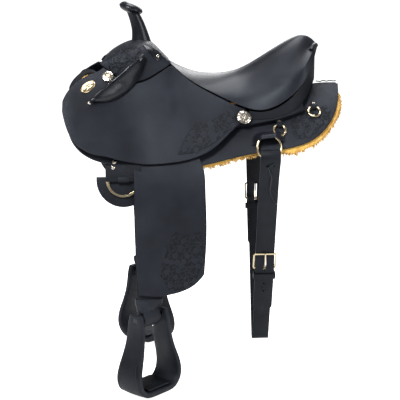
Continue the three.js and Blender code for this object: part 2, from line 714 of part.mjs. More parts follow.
const strapMid = (STRAP_IN + STRAP_OUT) / 2;
const boltCentre = vec(STRAP_FOOT_X, onBack(0, STRAP_FOOT_S, strapMid).y, BOLT_DROP);
const TWIST_TOP = 49;          // above the bolt, where the strap starts to turn
const TWIST_END = 15;
const FOLDED_T = 8;

const turnAt = (up) => rad(STIRRUP_TURN) * smooth((TWIST_TOP - up) / (TWIST_TOP - TWIST_END));

// Point at a place above the bolt: across the strap, and out of its face, turned with the twist.
function onTwist(up, across, out) {
  const turn = turnAt(up);
  const x = across * Math.cos(turn) + out * Math.sin(turn);
  const y = across * Math.sin(turn) - out * Math.cos(turn);
  return vec(x, y, up).add(boltCentre);
}

function addStirrupLeather(group, side) {
  const rows = [];
  for (let k = 0; k <= 11; k += 1) {
    const s = lerp(FENDER_PIVOT_S - 9, STRAP_FOOT_S - 20, k / 11);
    const x = lerp(FENDER_PIVOT_X, STRAP_FOOT_X, k / 11);
    const row = (h) => [-1, 0, 1].map((q) => onBack(x + q * STRAP_W / 2, s, h));
    rows.push([row(STRAP_OUT), row(STRAP_IN)]);
  }
  const lower = [[TWIST_TOP, STRAP_T], [TWIST_TOP - 6, FOLDED_T], [35, FOLDED_T], [26, FOLDED_T],
    [18, FOLDED_T + 1], [12, 17], [6, 23], [-2, 25], [-8, 21], [-13, 10], [-15, 3]];
  for (const [up, thick] of lower) {
    rows.push([1, -1].map((face) => [-1, 0, 1].map((q) => onTwist(up, q * STRAP_W / 2, face * thick / 2))));
  }
  const strap = slab(rows.map((r) => r[0]), rows.map((r) => r[1]));
  const hole = cylinderX(ROLLER_R + RUN_GAP, STRAP_W * 1.6, 20).rotateZ(rad(STIRRUP_TURN));
  hole.translate(boltCentre.x, boltCentre.y, boltCentre.z);
  part(group, `stirrup_leather_${side}`, 'leather', cut(strap, hole));
}

// Band round both layers of the stirrup leather, just above the bolt.
function addHobble(group, side) {
  const levels = [0, 0.25, 0.5, 0.75, 1].map((q) => TWIST_TOP - 1 - q * HOBBLE_H);
  const ring = (up, grow) => {
    const w = STRAP_W / 2 + grow;
    const t = FOLDED_T / 2 + grow;
    const outline = [[-w, -t * 0.7], [-w * 0.94, -t], [0, -t], [w * 0.94, -t], [w, -t * 0.7], [w, t * 0.7],
      [w * 0.94, t], [0, t], [-w * 0.94, t], [-w, t * 0.7]];
    return outline.map(([a, o]) => onTwist(up, a, o));
  };
  const geometry = sleeve(levels.map((up) => ring(up, 5)), levels.map((up) => ring(up, 1.9)));
  part(group, `hobble_strap_${side}`, 'leather', geometry);
}

// ---- Stirrup --------------------------------------------------------------------------------

// Centre line of half the stirrup as [across, down], arm top to the middle of the tread.
function stirrupLine() {
  const top = STIRRUP_GAP / 2 + ARM_T / 2;
  const floor = STIRRUP_TALL + TREAD_T / 2;
  return [[top, -15], [top, 5], [top + 2, 40], [top + 9, 80], [STIRRUP_BELL - 5, 118], [STIRRUP_BELL, 145],
    [STIRRUP_BELL - 4, 168], [STIRRUP_BELL - 18, floor - 2], [STIRRUP_BELL - 36, floor], [0, floor]];
}

const STIRRUP_STEPS = 24;

function addStirrup(group, side) {
  const stirrup = new THREE.Group();
  stirrup.position.copy(boltCentre);
  stirrup.rotation.z = rad(STIRRUP_TURN);
  group.add(stirrup);
  const half = stirrupLine().map(([a, d]) => vec(a, 0, -d));
  const centre = [...half, ...half.slice(0, -1).reverse().map((p) => vec(-p.x, 0, p.z))];
  const path = new THREE.CatmullRomCurve3(centre, false, 'centripetal').getSpacedPoints(STIRRUP_STEPS);
  const rows = path.map((p, i) => {
    const along = path[Math.min(STIRRUP_STEPS, i + 1)].clone().sub(path[Math.max(0, i - 1)]).normalize();
    const out = vec(-along.z, 0, along.x);
    if (out.x * p.x + out.z * (p.z + 90) < 0) out.negate();
    const down = smooth(-p.z / STIRRUP_TALL);
    const thick = lerp(ARM_T, TREAD_T, down ** 3);
    const deep = lerp(ARM_DEPTH, TREAD_DEPTH, down) * (p.z > 10 ? 0.72 : 1);
    const face = (sideOut) => [-1, -0.6, 0.6, 1].map((q) => p.clone()
      .addScaledVector(out, sideOut * thick / 2 * (1 - 0.3 * q ** 4)).add(vec(0, q * deep / 2, 0)));
    return [face(1), face(-1)];
  });
  const bolt = cylinderX(BOLT_R + RUN_GAP, STIRRUP_GAP * 3);
  const frame = cut(slab(rows.map((r) => r[0]), rows.map((r) => r[1])), bolt);
  part(stirrup, `stirrup_${side}`, 'leather', frame);
  const pad = new THREE.ExtrudeGeometry(roundedRect(STIRRUP_BELL * 2 - 58, TREAD_DEPTH - 10, 6), {
    depth: 4.5, bevelEnabled: false, curveSegments: 3,
  });
  part(stirrup, `stirrup_tread_${side}`, 'leather', pad).position.z = -STIRRUP_TALL + 2 * CLEAR;
  part(stirrup, `stirrup_bolt_${side}`, 'steel', boltGeometry());
}

// Bolt with its roller between the arms and a head at each end.
function boltGeometry() {
  const outside = STIRRUP_GAP / 2 + ARM_T + 0.8;
  const half = [[0, outside + 4], [7.5, outside + 4], [8.5, outside + 2.6], [8.5, outside], [BOLT_R, outside],
    [BOLT_R, STIRRUP_GAP / 2 - 1.5], [ROLLER_R, STIRRUP_GAP / 2 - 1.5]];
  const profile = [...half, ...half.slice().reverse().map(([r, z]) => [r, -z])];
  const points = profile.reverse().map(([r, z]) => new THREE.Vector2(r, z));
  return new THREE.LatheGeometry(points, 12).rotateZ(Math.PI / 2);
}

// ---- Front rigging --------------------------------------------------------------------------

const PLATE_X = -206;
const PLATE_R = 68;
const PLATE_IN = 6;
const PLATE_T = 4;
const DEE_S = 213;
const DEE_LIFT = PLATE_IN + PLATE_T + 5.6;

function addFrontRigging(group, side) {
  const lay = seatOnBack(PLATE_X, DEE_S, 0);
  const disc = new THREE.Shape();
  disc.moveTo(PLATE_R * 0.35, 9);
  disc.lineTo(-PLATE_R, 9);
  disc.absarc(0, 0, PLATE_R, Math.PI, 2 * Math.PI);
  const plate = new THREE.ExtrudeGeometry(disc, { depth: PLATE_T, bevelEnabled: false, curveSegments: 14 });
  plate.translate(0, 0, PLATE_IN);
  const clip = new THREE.BoxGeometry(28, 12, 14).translate(0, 0, PLATE_IN + PLATE_T + 6);
  const bar = cylinderX(DEE_T / 2 + 1, DEE_R * 3).translate(0, 0, DEE_LIFT);
  part(group, `front_rigging_${side}`, 'leather', cut(join(plate, clip), bar).applyMatrix4(lay));
}

// Half-round dee below a straight round bar, in its own plane with the bar along X.
function halfRound(radius, band, thick) {
  const shape = new THREE.Shape();
  shape.absarc(0, 0, radius, Math.PI, 2 * Math.PI);
  const hole = new THREE.Path();
  hole.moveTo(-radius + band, -band * 0.4);
  hole.absarc(0, -band * 0.4, radius - band, Math.PI, 2 * Math.PI);
  shape.holes.push(hole);
  const body = new THREE.ExtrudeGeometry(shape, { depth: thick, bevelEnabled: false, curveSegments: 12 });
  return body.translate(0, band * 0.2, -thick / 2);
}

function addFrontDee(group, side) {
  const dee = halfRound(DEE_R, DEE_BAND, DEE_T);
  const mesh = part(group, `front_dee_${side}`, 'steel', dee);
  mesh.applyMatrix4(seatOnBack(PLATE_X, DEE_S, 0));
  mesh.translateZ(DEE_LIFT);
}

// ---- Flank rigging --------------------------------------------------------------------------

const ringCentre = onBack(RING_X, RING_S, RING_H);

function ringGeometry(wire, sides = 8, steps = 24) {
  const ring = new THREE.TorusGeometry(RING_R, wire, sides, steps);
  return ring.rotateX(Math.PI / 2 - rad(RING_TILT)).translate(ringCentre.x, ringCentre.y, ringCentre.z);
}

// Rigging plate on the skirt, with the tab that holds the top of the ring.
const PLATE_TOP = [[128, 96], [136, 74], [150, 64], [172, 66], [176, 101], [204, 104]];
const PLATE_LOW = [[128, 110], [140, 118], [165, 122], [192, 119], [206, 112]];

function addRearRigging(group, side) {
  const under = SKIRT_OUT + LAYER_GAP;
  const plate = laid(PLATE_TOP, PLATE_LOW, under, under + 3, 14, 2);
  const tab = laid([[149, 68], [171, 68]], [[149, 97], [171, 97]], under + 1, under + 23, 4, 2);
  part(group, `rear_rigging_${side}`, 'leather', cut(join(plate, tab), ringGeometry(RING_WIRE + 3, 8, 16)));
}

// Each strand of the flank cinch hangs in its own plane, from the foot of a ring to the fold.
const STRAND_X = RING_X + 3;
const FOOT_Y = -ringCentre.y + RING_R * Math.sin(rad(RING_TILT));
const FOOT_Z = ringCentre.z - RING_R * Math.cos(rad(RING_TILT));
const foldZ = CINCH_DEPTH + CINCH_FOLD_R;
const strandLean = Math.atan2(FOOT_Y, FOOT_Z - foldZ)
  - Math.asin(CINCH_FOLD_R / Math.hypot(FOOT_Y, FOOT_Z - foldZ));

function strandGroup(group) {
  const strand = new THREE.Group();
  strand.position.set(STRAND_X, -FOOT_Y, FOOT_Z);
  strand.rotation.x = strandLean;
  group.add(strand);
  return strand;
}

// Strap from a side outline of [outward, down] points on its two faces, centred on X.
function strapSide(outer, inner, width) {
  const at = ([n, d]) => new THREE.Vector2(n, -d);
  const shape = new THREE.Shape([...outer.map(at), ...inner.slice().reverse().map(at)]);
  const geometry = new THREE.ExtrudeGeometry(shape, { depth: width, bevelEnabled: false });
  const m = new THREE.Matrix4().makeBasis(vec(0, -1, 0), vec(0, 0, 1), vec(1, 0, 0).negate());
  return geometry.translate(0, 0, -width / 2).applyMatrix4(m);
}

// Billet: folded over the ring, behind the top bar, over the heel bar and down to its tail.
function billetGeometry(drop, tail) {
  const t = BILLET_T;
  const heel = drop + BUCKLE_TALL - BUCKLE_BAR;
  const line = [[-4.6, Math.min(drop - 24, 110)], [-5, drop + 6], [6.6, heel - 12], [7.4, heel + 8],
    [5.6, heel + 40], [5.2, heel + tail]];
  const outer = [[-8, -20], [-1, -17], [4, -9], [7.6, 0], [7, 9], [2.6, 26], [-2.6, 64],
    ...line.map(([n, d]) => [n + t / 2, d])];
  const inner = [[-13, -20], [-16.5, -15], [-13, -5], [-8.5, 5], [-6.6, 16], [-6, 26], [-6.6, 64],
    ...line.map(([n, d]) => [n - t / 2, d])];
  const body = strapSide(outer, inner, BILLET_W);
  const tip = heel + tail;
  const corner = (sideX) => new THREE.ExtrudeGeometry(new THREE.Shape([
    new THREE.Vector2(sideX * (BILLET_W / 2 + 4), -tip - 4),
    new THREE.Vector2(sideX * (BILLET_W / 2 + 4), -tip + 34),
    new THREE.Vector2(sideX * BILLET_W / 2, -tip + 30),
    new THREE.Vector2(sideX * BILLET_W / 3.4, -tip + 9),
    new THREE.Vector2(sideX * 4, -tip - 4),
  ]), { depth: 60, bevelEnabled: false }).translate(0, 0, -30).rotateX(Math.PI / 2);
  const holes = [22, 46, 70].map((down) => hole(2.6, heel + down));
  const slot = new THREE.BoxGeometry(7, 60, BUCKLE_TALL - 3).translate(0, 0, -drop - BUCKLE_TALL / 2 - 1.5);
  return { body, cuts: [corner(-1), corner(1), ...holes, slot] };
}

function hole(radius, down) {
  return new THREE.CylinderGeometry(radius, radius, 60, 10).translate(0, 0, -down);
}

function addStrand(group, side, drop, tail) {
  const strand = strandGroup(group);
  const billet = billetGeometry(drop, tail);
  const ring = ringGeometry(RING_WIRE + CLEAR + 0.3, 8, 24);
  ring.translate(-STRAND_X, FOOT_Y, -FOOT_Z).rotateX(-strandLean);
  const thongs = [-9, 9].map((x) => hole(2.2, 18).translate(x, 0, 0));
  part(strand, `flank_billet_${side}`, 'leather', cut(billet.body, ring, ...billet.cuts, ...thongs));
  const buckle = new THREE.ExtrudeGeometry(frameShape(BILLET_W + 12, BUCKLE_TALL, 7, BUCKLE_BAR), {
    depth: BUCKLE_BAR, bevelEnabled: false, curveSegments: 3,
  });
  buckle.translate(0, 0, -BUCKLE_BAR / 2).rotateX(Math.PI / 2);
  buckle.translate(0, 0, -drop - BUCKLE_TALL / 2 + BUCKLE_BAR / 2);
  part(strand, `cinch_buckle_${side}`, 'steel', buckle);
  const tongue = part(strand, `buckle_tongue_${side}`, 'steel', tongueGeometry());
  tongue.position.z = -drop - BUCKLE_TALL + BUCKLE_BAR;
  const keeper = new THREE.ExtrudeGeometry(frameShape(BILLET_W + 9, 19, 3, 2.6), {
    depth: 15, bevelEnabled: false, curveSegments: 3,
  });
  part(strand, `cinch_keeper_${side}`, 'leather', keeper.translate(0, -3.4, -drop - BUCKLE_TALL - 24));
}

// Tongue round the heel bar, reaching up through the billet to rest on the top bar.
function tongueGeometry() {
  const bore = BUCKLE_BAR / Math.SQRT2 + RUN_GAP;
  const knuckle = new THREE.Shape().absarc(0, 0, bore + 2, 0, 2 * Math.PI);
  knuckle.holes.push(new THREE.Path().absarc(0, 0, bore, 0, 2 * Math.PI));
  const eye = new THREE.ExtrudeGeometry(knuckle, { depth: 4, bevelEnabled: false, curveSegments: 8 });
  eye.translate(0, 0, -2).rotateY(Math.PI / 2);
  const reach = BUCKLE_TALL - BUCKLE_BAR;
  const rest = BUCKLE_BAR / 2 + TONGUE_R + CLEAR;
  const start = vec(0, -bore - 1, 1);
  const end = vec(0, -rest, reach + 2);
  const shaft = tube([start, vec(0, -rest - 2, reach / 2), end], TONGUE_R, 4, 8);
  return join(eye, shaft);
}

// ---- Flank cinch ----------------------------------------------------------------------------

function strandPoint(outward, down, sign) {
  const c = Math.cos(strandLean);
  const s = Math.sin(strandLean);
  return [sign * (FOOT_Y - down * s + outward * c), FOOT_Z - down * c - outward * s];
}

// The cinch is one strap: a fold round each heel bar and a narrow turn at the bottom.
function addCinch() {
  const heel = (drop) => drop + BUCKLE_TALL - BUCKLE_BAR;
  const edge = (shift) => {
    const run = [];
    const half = (drop, sign) => [
      strandPoint(shift * 2.3, heel(drop) - 5, sign),
      strandPoint(shift * 2.3, heel(drop) + 5, sign),
      strandPoint(shift, heel(drop) + 14, sign),
    ];
    run.push(...half(NEAR_DROP, -1));
    const turn = Math.PI / 2 - strandLean;
    for (let k = -6; k <= 6; k += 1) {
      const a = turn * k / 6;
      const r = CINCH_FOLD_R + shift;
      run.push([r * Math.sin(a), CINCH_DEPTH + CINCH_FOLD_R - r * Math.cos(a)]);
    }
    run.push(...half(OFF_DROP, 1).reverse());
    return run.map(([y, z]) => new THREE.Vector2(y, z));
  };
  const shape = new THREE.Shape([...edge(CINCH_T / 2), ...edge(-CINCH_T / 2).reverse()]);
  const band = new THREE.ExtrudeGeometry(shape, { depth: CINCH_W, bevelEnabled: false });
  band.applyMatrix4(new THREE.Matrix4().makeBasis(vec(0, 1, 0), vec(0, 0, 1), vec(1, 0, 0)));
  band.translate(STRAND_X - CINCH_W / 2, 0, 0);
  const cuts = [[NEAR_DROP, -1], [OFF_DROP, 1]].flatMap(([drop, sign]) => {
    const [y, z] = strandPoint(0, heel(drop), sign);
    const bar = new THREE.BoxGeometry(CINCH_W * 2, BUCKLE_BAR + 0.8, BUCKLE_BAR + 0.8);
    const eye = new THREE.BoxGeometry(8, 40, 22);
    return [bar, eye].map((tool) => tool.rotateX(-sign * strandLean).translate(STRAND_X, y, z));
  });
  part(saddle, 'flank_cinch', 'leather', cut(band, ...cuts));
}

// ---- Conchos, saddle-bag dees, laces --------------------------------------------------------

function conchoGeometry(radius) {
  const profile = [[0, 0], [radius, 0], [radius, 1.4], [radius * 0.82, 3], [radius * 0.4, 4.4], [0, 4.8]];
  return new THREE.LatheGeometry(profile.map(([r, z]) => new THREE.Vector2(r, z)), 18).rotateX(Math.PI / 2);
}

function addConcho(group, name, radius, x, z, lift) {
  const seat = onSide(x, z);
  const mesh = part(group, name, 'steel', conchoGeometry(radius));
  mesh.quaternion.setFromUnitVectors(vec(0, 0, 1), seat.normal);
  mesh.position.copy(seat.point).addScaledVector(seat.normal, lift);
}

function deeOutline(width, height, drop) {
  const corners = [[-0.34, 0], [0.34, 0], [0.5, -0.34], [0.46, -0.7], [0.2, -1], [-0.2, -1],
    [-0.46, -0.7], [-0.5, -0.34]];
  return new THREE.Shape(corners.map(([x, y]) => new THREE.Vector2(x * width, y * height - drop)));
}

function bagDee() {
  const whole = deeOutline(BAG_DEE_W, BAG_DEE_H, 0);
  const bulk = new THREE.ExtrudeGeometry(whole, { depth: BAG_DEE_T, bevelEnabled: false });
  const gap = deeOutline(BAG_DEE_W - 2 * BAG_DEE_BAND, BAG_DEE_H - 2 * BAG_DEE_BAND, BAG_DEE_BAND);
  const tool = new THREE.ExtrudeGeometry(gap, { depth: BAG_DEE_T * 3, bevelEnabled: false });
  return cut(bulk, tool.translate(0, 0, -BAG_DEE_T));
}

function addBagDee(group, name, x, s) {
  const mesh = part(group, name, 'steel', bagDee());
  mesh.applyMatrix4(seatOnBack(x, s, SKIRT_OUT + 1.4));
}

// Thong ends hanging from the folded billet, in the strand's own plane as [x, outward, down].
const LACE_POINTS = [[-6, 7.8, 20], [-2, 7.4, 32], [4, 6.4, 48], [3, 5, 68], [2, 3.2, 88], [8, 2.2, 108],
  [16, 2.4, 124], [24, 3.4, 136]];

function addLace(group, side, drop) {
  const strand = strandGroup(group);
  const shorten = Math.min(1, (drop - 24) / 136);
  const points = LACE_POINTS.map(([x, n, d]) => vec(x, -n, -20 - (d - 20) * shorten));
  part(strand, `billet_lace_${side}`, 'leather', tube(points, LACE_R, 18, 8));
}

// ---- Assembly -------------------------------------------------------------------------------

function addSide(group, side, drop) {
  addSkirts(group, side);
  addTreeBar(group, side);
  addJockey(group, side);
  addPoley(group, side);
  addFender(group, side);
  addStirrupLeather(group, side);
  addHobble(group, side);
  addStirrup(group, side);
  addFrontRigging(group, side);
  addFrontDee(group, side);
  part(group, `rear_ring_${side}`, 'steel', ringGeometry(RING_WIRE));
  addRearRigging(group, side);
  addStrand(group, side, drop, TAIL_LENGTH);
  addLace(group, side, drop);
  addConcho(group, `concho_rear_${side}`, CONCHO_R, 104, -2, 6.8);
  addConcho(group, `concho_front_${side}`, FRONT_CONCHO_R, -242, 104, 4);
  addBagDee(group, `bag_dee_fore_${side}`, 197, 64);
  addBagDee(group, `bag_dee_aft_${side}`, 291, 20);
}

addSide(nearSide, 'near', NEAR_DROP);
addSide(offSide, 'off', OFF_DROP);
part(saddle, 'skirt_lace', 'leather', skirtLace());
addSeat();
addCantle();
addCantleBack();
addFork();
addHorn();
addCinch();

export default saddle;
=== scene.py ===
"""Western saddle: finished leather, fleece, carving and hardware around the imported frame."""

import math
import random

import bmesh
import bpy
import numpy as np
from mathutils import Matrix, Quaternion, Vector, noise
from mathutils.bvhtree import BVHTree
from mathutils.kdtree import KDTree


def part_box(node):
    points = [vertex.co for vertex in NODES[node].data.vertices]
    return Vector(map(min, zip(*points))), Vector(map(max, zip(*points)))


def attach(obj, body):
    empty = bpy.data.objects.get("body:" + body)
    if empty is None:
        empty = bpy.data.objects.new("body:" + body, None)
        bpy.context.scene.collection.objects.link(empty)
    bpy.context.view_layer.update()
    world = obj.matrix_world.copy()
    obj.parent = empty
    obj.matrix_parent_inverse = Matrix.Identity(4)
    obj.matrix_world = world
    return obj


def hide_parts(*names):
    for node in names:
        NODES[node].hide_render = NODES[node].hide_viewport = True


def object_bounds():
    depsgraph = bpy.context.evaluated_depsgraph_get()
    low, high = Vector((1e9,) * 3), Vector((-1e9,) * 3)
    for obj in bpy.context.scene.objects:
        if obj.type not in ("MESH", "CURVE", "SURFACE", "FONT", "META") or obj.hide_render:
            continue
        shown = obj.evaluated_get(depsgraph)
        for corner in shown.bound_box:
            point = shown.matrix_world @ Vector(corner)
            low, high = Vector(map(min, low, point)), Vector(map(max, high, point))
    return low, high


bl_info = {
    "name": "Western saddle finish",
    "version": (1, 0, 0),
    "blender": (4, 5, 0),
    "location": "3D View > Sidebar > Saddle",
    "description": "Finishes the packed western saddle with leather, fleece, carving and hardware",
    "category": "Object",
}

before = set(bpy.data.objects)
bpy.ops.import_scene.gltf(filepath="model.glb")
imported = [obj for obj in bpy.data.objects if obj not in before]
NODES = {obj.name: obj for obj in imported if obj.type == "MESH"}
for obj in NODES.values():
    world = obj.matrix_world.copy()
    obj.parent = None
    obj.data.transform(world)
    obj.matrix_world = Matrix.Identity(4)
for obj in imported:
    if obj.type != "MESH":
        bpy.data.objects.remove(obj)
CAD_BOX = [list(corner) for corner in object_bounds()]
SIDES = (("near", -1), ("off", 1))
MM = 0.001

# ---- The horse's back, in millimetres, as the frame was drawn on it

BACK_HALF, BACK_LEAN, BACK_R = 56.0, math.radians(40), 460.0
BELLY_R, BELLY_START = 230.0, 150.0
WITHERS, CROUP = (115.0, 150.0, 200.0), (22.0, 60.0, 300.0)
SKIRT_TOP_FACE, JOCKEY_TOP_FACE, FENDER_TOP_FACE = 18.8, 40.1, 31.4


def smooth(t):
    t = min(1.0, max(0.0, t))
    return t * t * (3 - 2 * t)


def rise(x):
    return (WITHERS[0] * smooth((-x - WITHERS[1]) / WITHERS[2])
            + CROUP[0] * smooth((x - CROUP[1]) / CROUP[2]))


def section(s):
    turn = BACK_LEAN + BELLY_START / BACK_R
    if s <= BELLY_START:
        a = BACK_LEAN + s / BACK_R
        return (BACK_HALF + BACK_R * (math.sin(a) - math.sin(BACK_LEAN)),
                BACK_R * (math.cos(a) - math.cos(BACK_LEAN)), a)
    y, z, _ = section(BELLY_START)
    a = min(math.pi / 2, turn + (s - BELLY_START) / BELLY_R)
    upright = BELLY_START + BELLY_R * (math.pi / 2 - turn)
    return (y + BELLY_R * (math.sin(a) - math.sin(turn)),
            z + BELLY_R * (math.cos(a) - math.cos(turn)) - max(0.0, s - upright), a)


def on_back(x, s, h, side=-1):
    """Point at x along the horse, s down the flank and h off it; side is -1 near, 1 off. In metres."""
    y, z, a = section(s)
    return Vector((x, side * (y + h * math.sin(a)), rise(x) + z + h * math.cos(a))) * MM


def back_normal(s, side=-1):
    a = section(s)[2]
    return Vector((0, side * math.sin(a), math.cos(a)))


# ---- Mesh tools

def only(obj):
    bpy.ops.object.select_all(action="DESELECT")
    obj.select_set(True)
    bpy.context.view_layer.objects.active = obj


def apply_modifier(obj, kind, **values):
    mod = obj.modifiers.new(kind.title(), kind)
    for key, value in values.items():
        setattr(mod, key, value)
    only(obj)
    bpy.ops.object.modifier_apply(modifier=mod.name)


def shade(obj, angle=None):
    only(obj)
    if angle is None:
        bpy.ops.object.shade_smooth()
    else:
        bpy.ops.object.shade_smooth_by_angle(angle=math.radians(angle))


def subdivide(obj, levels):
    if levels:
        apply_modifier(obj, "SUBSURF", levels=levels, render_levels=levels)


def round_edges(obj, width, segments=2, angle=40):
    apply_modifier(obj, "BEVEL", width=width, segments=segments, limit_method="ANGLE",
                   angle_limit=math.radians(angle), use_clamp_overlap=True)


def new_piece(name, points, faces):
    mesh = bpy.data.meshes.new(name)
    mesh.from_pydata([tuple(p) for p in points], [], faces)
    mesh.update()
    obj = bpy.data.objects.new(name, mesh)
    bpy.context.scene.collection.objects.link(obj)
    return obj


def grid_faces(rows, columns):
    """Four-sided faces over points laid out row by row."""
    return [(a, a + 1, a + columns + 1, a + columns)
            for i in range(rows - 1) for a in range(i * columns, (i + 1) * columns - 1)]


def face_out(obj):
    only(obj)
    bpy.ops.object.mode_set(mode="EDIT")
    bpy.ops.mesh.select_all(action="SELECT")
    bpy.ops.mesh.remove_doubles(threshold=1e-6)
    bpy.ops.mesh.normals_make_consistent(inside=False)
    bpy.ops.object.mode_set(mode="OBJECT")


def copy_node(node, name):
    """A merged copy of a frame node's mesh, with its flat grids back in four-sided faces."""
    obj = bpy.data.objects.new(name, NODES[node].data.copy())
    bpy.context.scene.collection.objects.link(obj)
    obj.data.materials.clear()
    only(obj)
    bpy.ops.mesh.customdata_custom_splitnormals_clear()
    bpy.ops.object.mode_set(mode="EDIT")
    bpy.ops.mesh.select_all(action="SELECT")
    bpy.ops.mesh.remove_doubles(threshold=1e-5)
    bpy.ops.mesh.tris_convert_to_quads(face_threshold=math.radians(50), shape_threshold=math.radians(60))
    bpy.ops.object.mode_set(mode="OBJECT")
    return obj


def softened(node, name, edge=0.0012, levels=2, angle=40):
    """A frame node's shape with rounded edges and its facets smoothed away."""
    obj = copy_node(node, name)
    round_edges(obj, edge, angle=angle)
    subdivide(obj, levels)
    shade(obj)
    return obj


def rounded(node, name, edge=0.0008, angle=35, segments=2):
    """A frame node's shape with rounded edges, its faces kept."""
    obj = copy_node(node, name)
    round_edges(obj, edge, segments=segments, angle=angle)
    shade(obj, 40)
    return obj


def place(obj, body, material, slot, *nodes):
    """Gives a finished piece its material and its body, and hides the nodes it stands for; slot is not used."""
    obj.data.materials.clear()
    obj.data.materials.append(material)
    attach(obj, body)
    if nodes:
        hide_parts(*nodes)
    return obj


def mirrored(obj, name):
    """The off side's copy of a near piece."""
    twin = bpy.data.objects.new(name, obj.data.copy())
    bpy.context.scene.collection.objects.link(twin)
    twin.data.transform(Matrix.Scale(-1, 4, (0, 1, 0)))
    twin.data.flip_normals()
    return twin


def catmull(points, per_span=8):
    """A smooth line through points."""
    pts = [Vector(p) for p in points]
    pts = [2 * pts[0] - pts[1], *pts, 2 * pts[-1] - pts[-2]]
    line = []
    for a, b, c, d in zip(pts, pts[1:], pts[2:], pts[3:]):
        for k in range(per_span):
            t = k / per_span
            line.append(0.5 * (2 * b + (c - a) * t + (2 * a - 5 * b + 4 * c - d) * t ** 2
                               + (3 * b - a - 3 * c + d) * t ** 3))
    line.append(pts[-2])
    return line


def length_of(line):
    return sum((b - a).length for a, b in zip(line, line[1:]))


def resample(line, step):
    """Points a fixed step apart along a line."""
    total = length_of(line)
    count = max(2, round(total / step) + 1)
    out, travelled, k = [line[0]], 0.0, 0
    for i in range(1, count - 1):
        goal = total * i / (count - 1)
        while travelled + (line[k + 1] - line[k]).length < goal:
            travelled += (line[k + 1] - line[k]).length
            k += 1
        span = (line[k + 1] - line[k]).length
        out.append(line[k].lerp(line[k + 1], (goal - travelled) / span))
    out.append(line[-1])
    return out


def tube(name, line, radius, sides=10, flat=1.0, normal=None, closed=False, taper=0.0):
    """A round or flattened tube along a line. flat below 1 squashes it along normal(point)."""
    points, faces = [], []
    count = len(line)
    side = None
    for i, p in enumerate(line):
        ahead = line[(i + 1) % count] if closed else line[min(count - 1, i + 1)]
        behind = line[i - 1] if closed else line[max(0, i - 1)]
        along = (ahead - behind).normalized()
        if normal is not None:
            up = normal(p)
        elif side is None:
            up = along.orthogonal()
        else:
            up = side.cross(along)
        side = along.cross(up).normalized()
        up = side.cross(along).normalized()
        r = radius * (1 - taper * smooth((i / (count - 1) - 0.75) / 0.25)) if taper else radius
        for k in range(sides):
            a = 2 * math.pi * k / sides
            points.append(p + side * math.cos(a) * r + up * math.sin(a) * r * flat)
    for i in range(count if closed else count - 1):
        for k in range(sides):
            a, b = i * sides + k, i * sides + (k + 1) % sides
            c, d = ((i + 1) % count) * sides + (k + 1) % sides, ((i + 1) % count) * sides + k
            faces.append((a, b, c, d))
    if not closed:
        faces.append(tuple(range(sides))[::-1])
        faces.append(tuple(range((count - 1) * sides, count * sides)))
    obj = new_piece(name, points, faces)
    face_out(obj)
    shade(obj, 50)
    return obj


def frame_at(point, normal, up=Vector((0, 0, 1))):
    """A matrix that stands something on a surface: its Z is the normal and its Y runs up."""
    z = normal.normalized()
    x = up.cross(z).normalized()
    y = z.cross(x)
    m = Matrix((x, y, z)).transposed().to_4x4()
    m.translation = point
    return m


def flank_frame(x, s, sign):
    """Lies on the flank: X along the horse, Y up the flank and Z off it."""
    slope = section(s)[2]
    return Matrix.Translation(on_back(x, s, 0, sign)) @ Matrix(
        ((1, 0, 0, 0), (0, -sign * math.cos(slope), sign * math.sin(slope), 0),
         (0, math.sin(slope), math.cos(slope), 0), (0, 0, 0, 1)))


class Surface:
    """The outside of finished pieces, to lay things on."""

    def __init__(self, *objects):
        bm = bmesh.new()
        for obj in objects:
            bm.from_mesh(obj.data)
        self.tree = BVHTree.FromBMesh(bm)
        bm.free()

    def from_out(self, origin, direction):
        hit, normal, _, _ = self.tree.ray_cast(origin, direction)
        if hit is None:
            return None
        return hit, (normal if normal.dot(direction) < 0 else -normal)

    def at_back(self, x, s, side=-1, start=140.0):
        """Where a line straight down onto the flank meets the surface."""
        return self.from_out(on_back(x, s, start, side), -back_normal(s, side))

    def at_side(self, x, z, side=-1):
        return self.from_out(Vector((x * MM, side * 0.5, z * MM)), Vector((0, -side, 0)))


# ---- Stitching

STITCH_SIDES, STITCH_RINGS = 5, 4


def stitch_row(name, line, normal_at, length=None, gap=0.0016, radius=0.00045):
    """Thread along a line: one short arched stitch after another, of the panel's length if none is given."""
    length = length or sizes().stitch
    points, faces = [], []
    path = resample(line, length + gap)
    for a, b in zip(path, path[1:]):
        along = b - a
        if along.length < 1e-6:
            continue
        reach = along * (length / (length + gap))
        up = normal_at(a)
        side = along.normalized().cross(up).normalized()
        first = len(points)
        for i in range(STITCH_RINGS):
            t = i / (STITCH_RINGS - 1)
            swell = 0.45 + 0.55 * math.sin(math.pi * (0.12 + 0.76 * t))
            centre = a + reach * t + up * radius * (0.55 * swell - 0.1)
            for k in range(STITCH_SIDES):
                q = 2 * math.pi * k / STITCH_SIDES
                points.append(centre + (side * math.cos(q) + up * math.sin(q)) * radius * swell)
        for i in range(STITCH_RINGS - 1):
            for k in range(STITCH_SIDES):
                c, d = first + i * STITCH_SIDES + k, first + i * STITCH_SIDES + (k + 1) % STITCH_SIDES
                faces.append((c, d, d + STITCH_SIDES, c + STITCH_SIDES))
        faces.append(tuple(range(first, first + STITCH_SIDES))[::-1])
        last = first + (STITCH_RINGS - 1) * STITCH_SIDES
        faces.append(tuple(range(last, last + STITCH_SIDES)))
    obj = new_piece(name, points, faces)
    shade(obj)
    only(obj)
    bpy.ops.object.mode_set(mode="EDIT")
    bpy.ops.mesh.select_all(action="SELECT")
    bpy.ops.mesh.normals_make_consistent(inside=False)
    bpy.ops.object.mode_set(mode="OBJECT")
    return obj


# ---- Materials

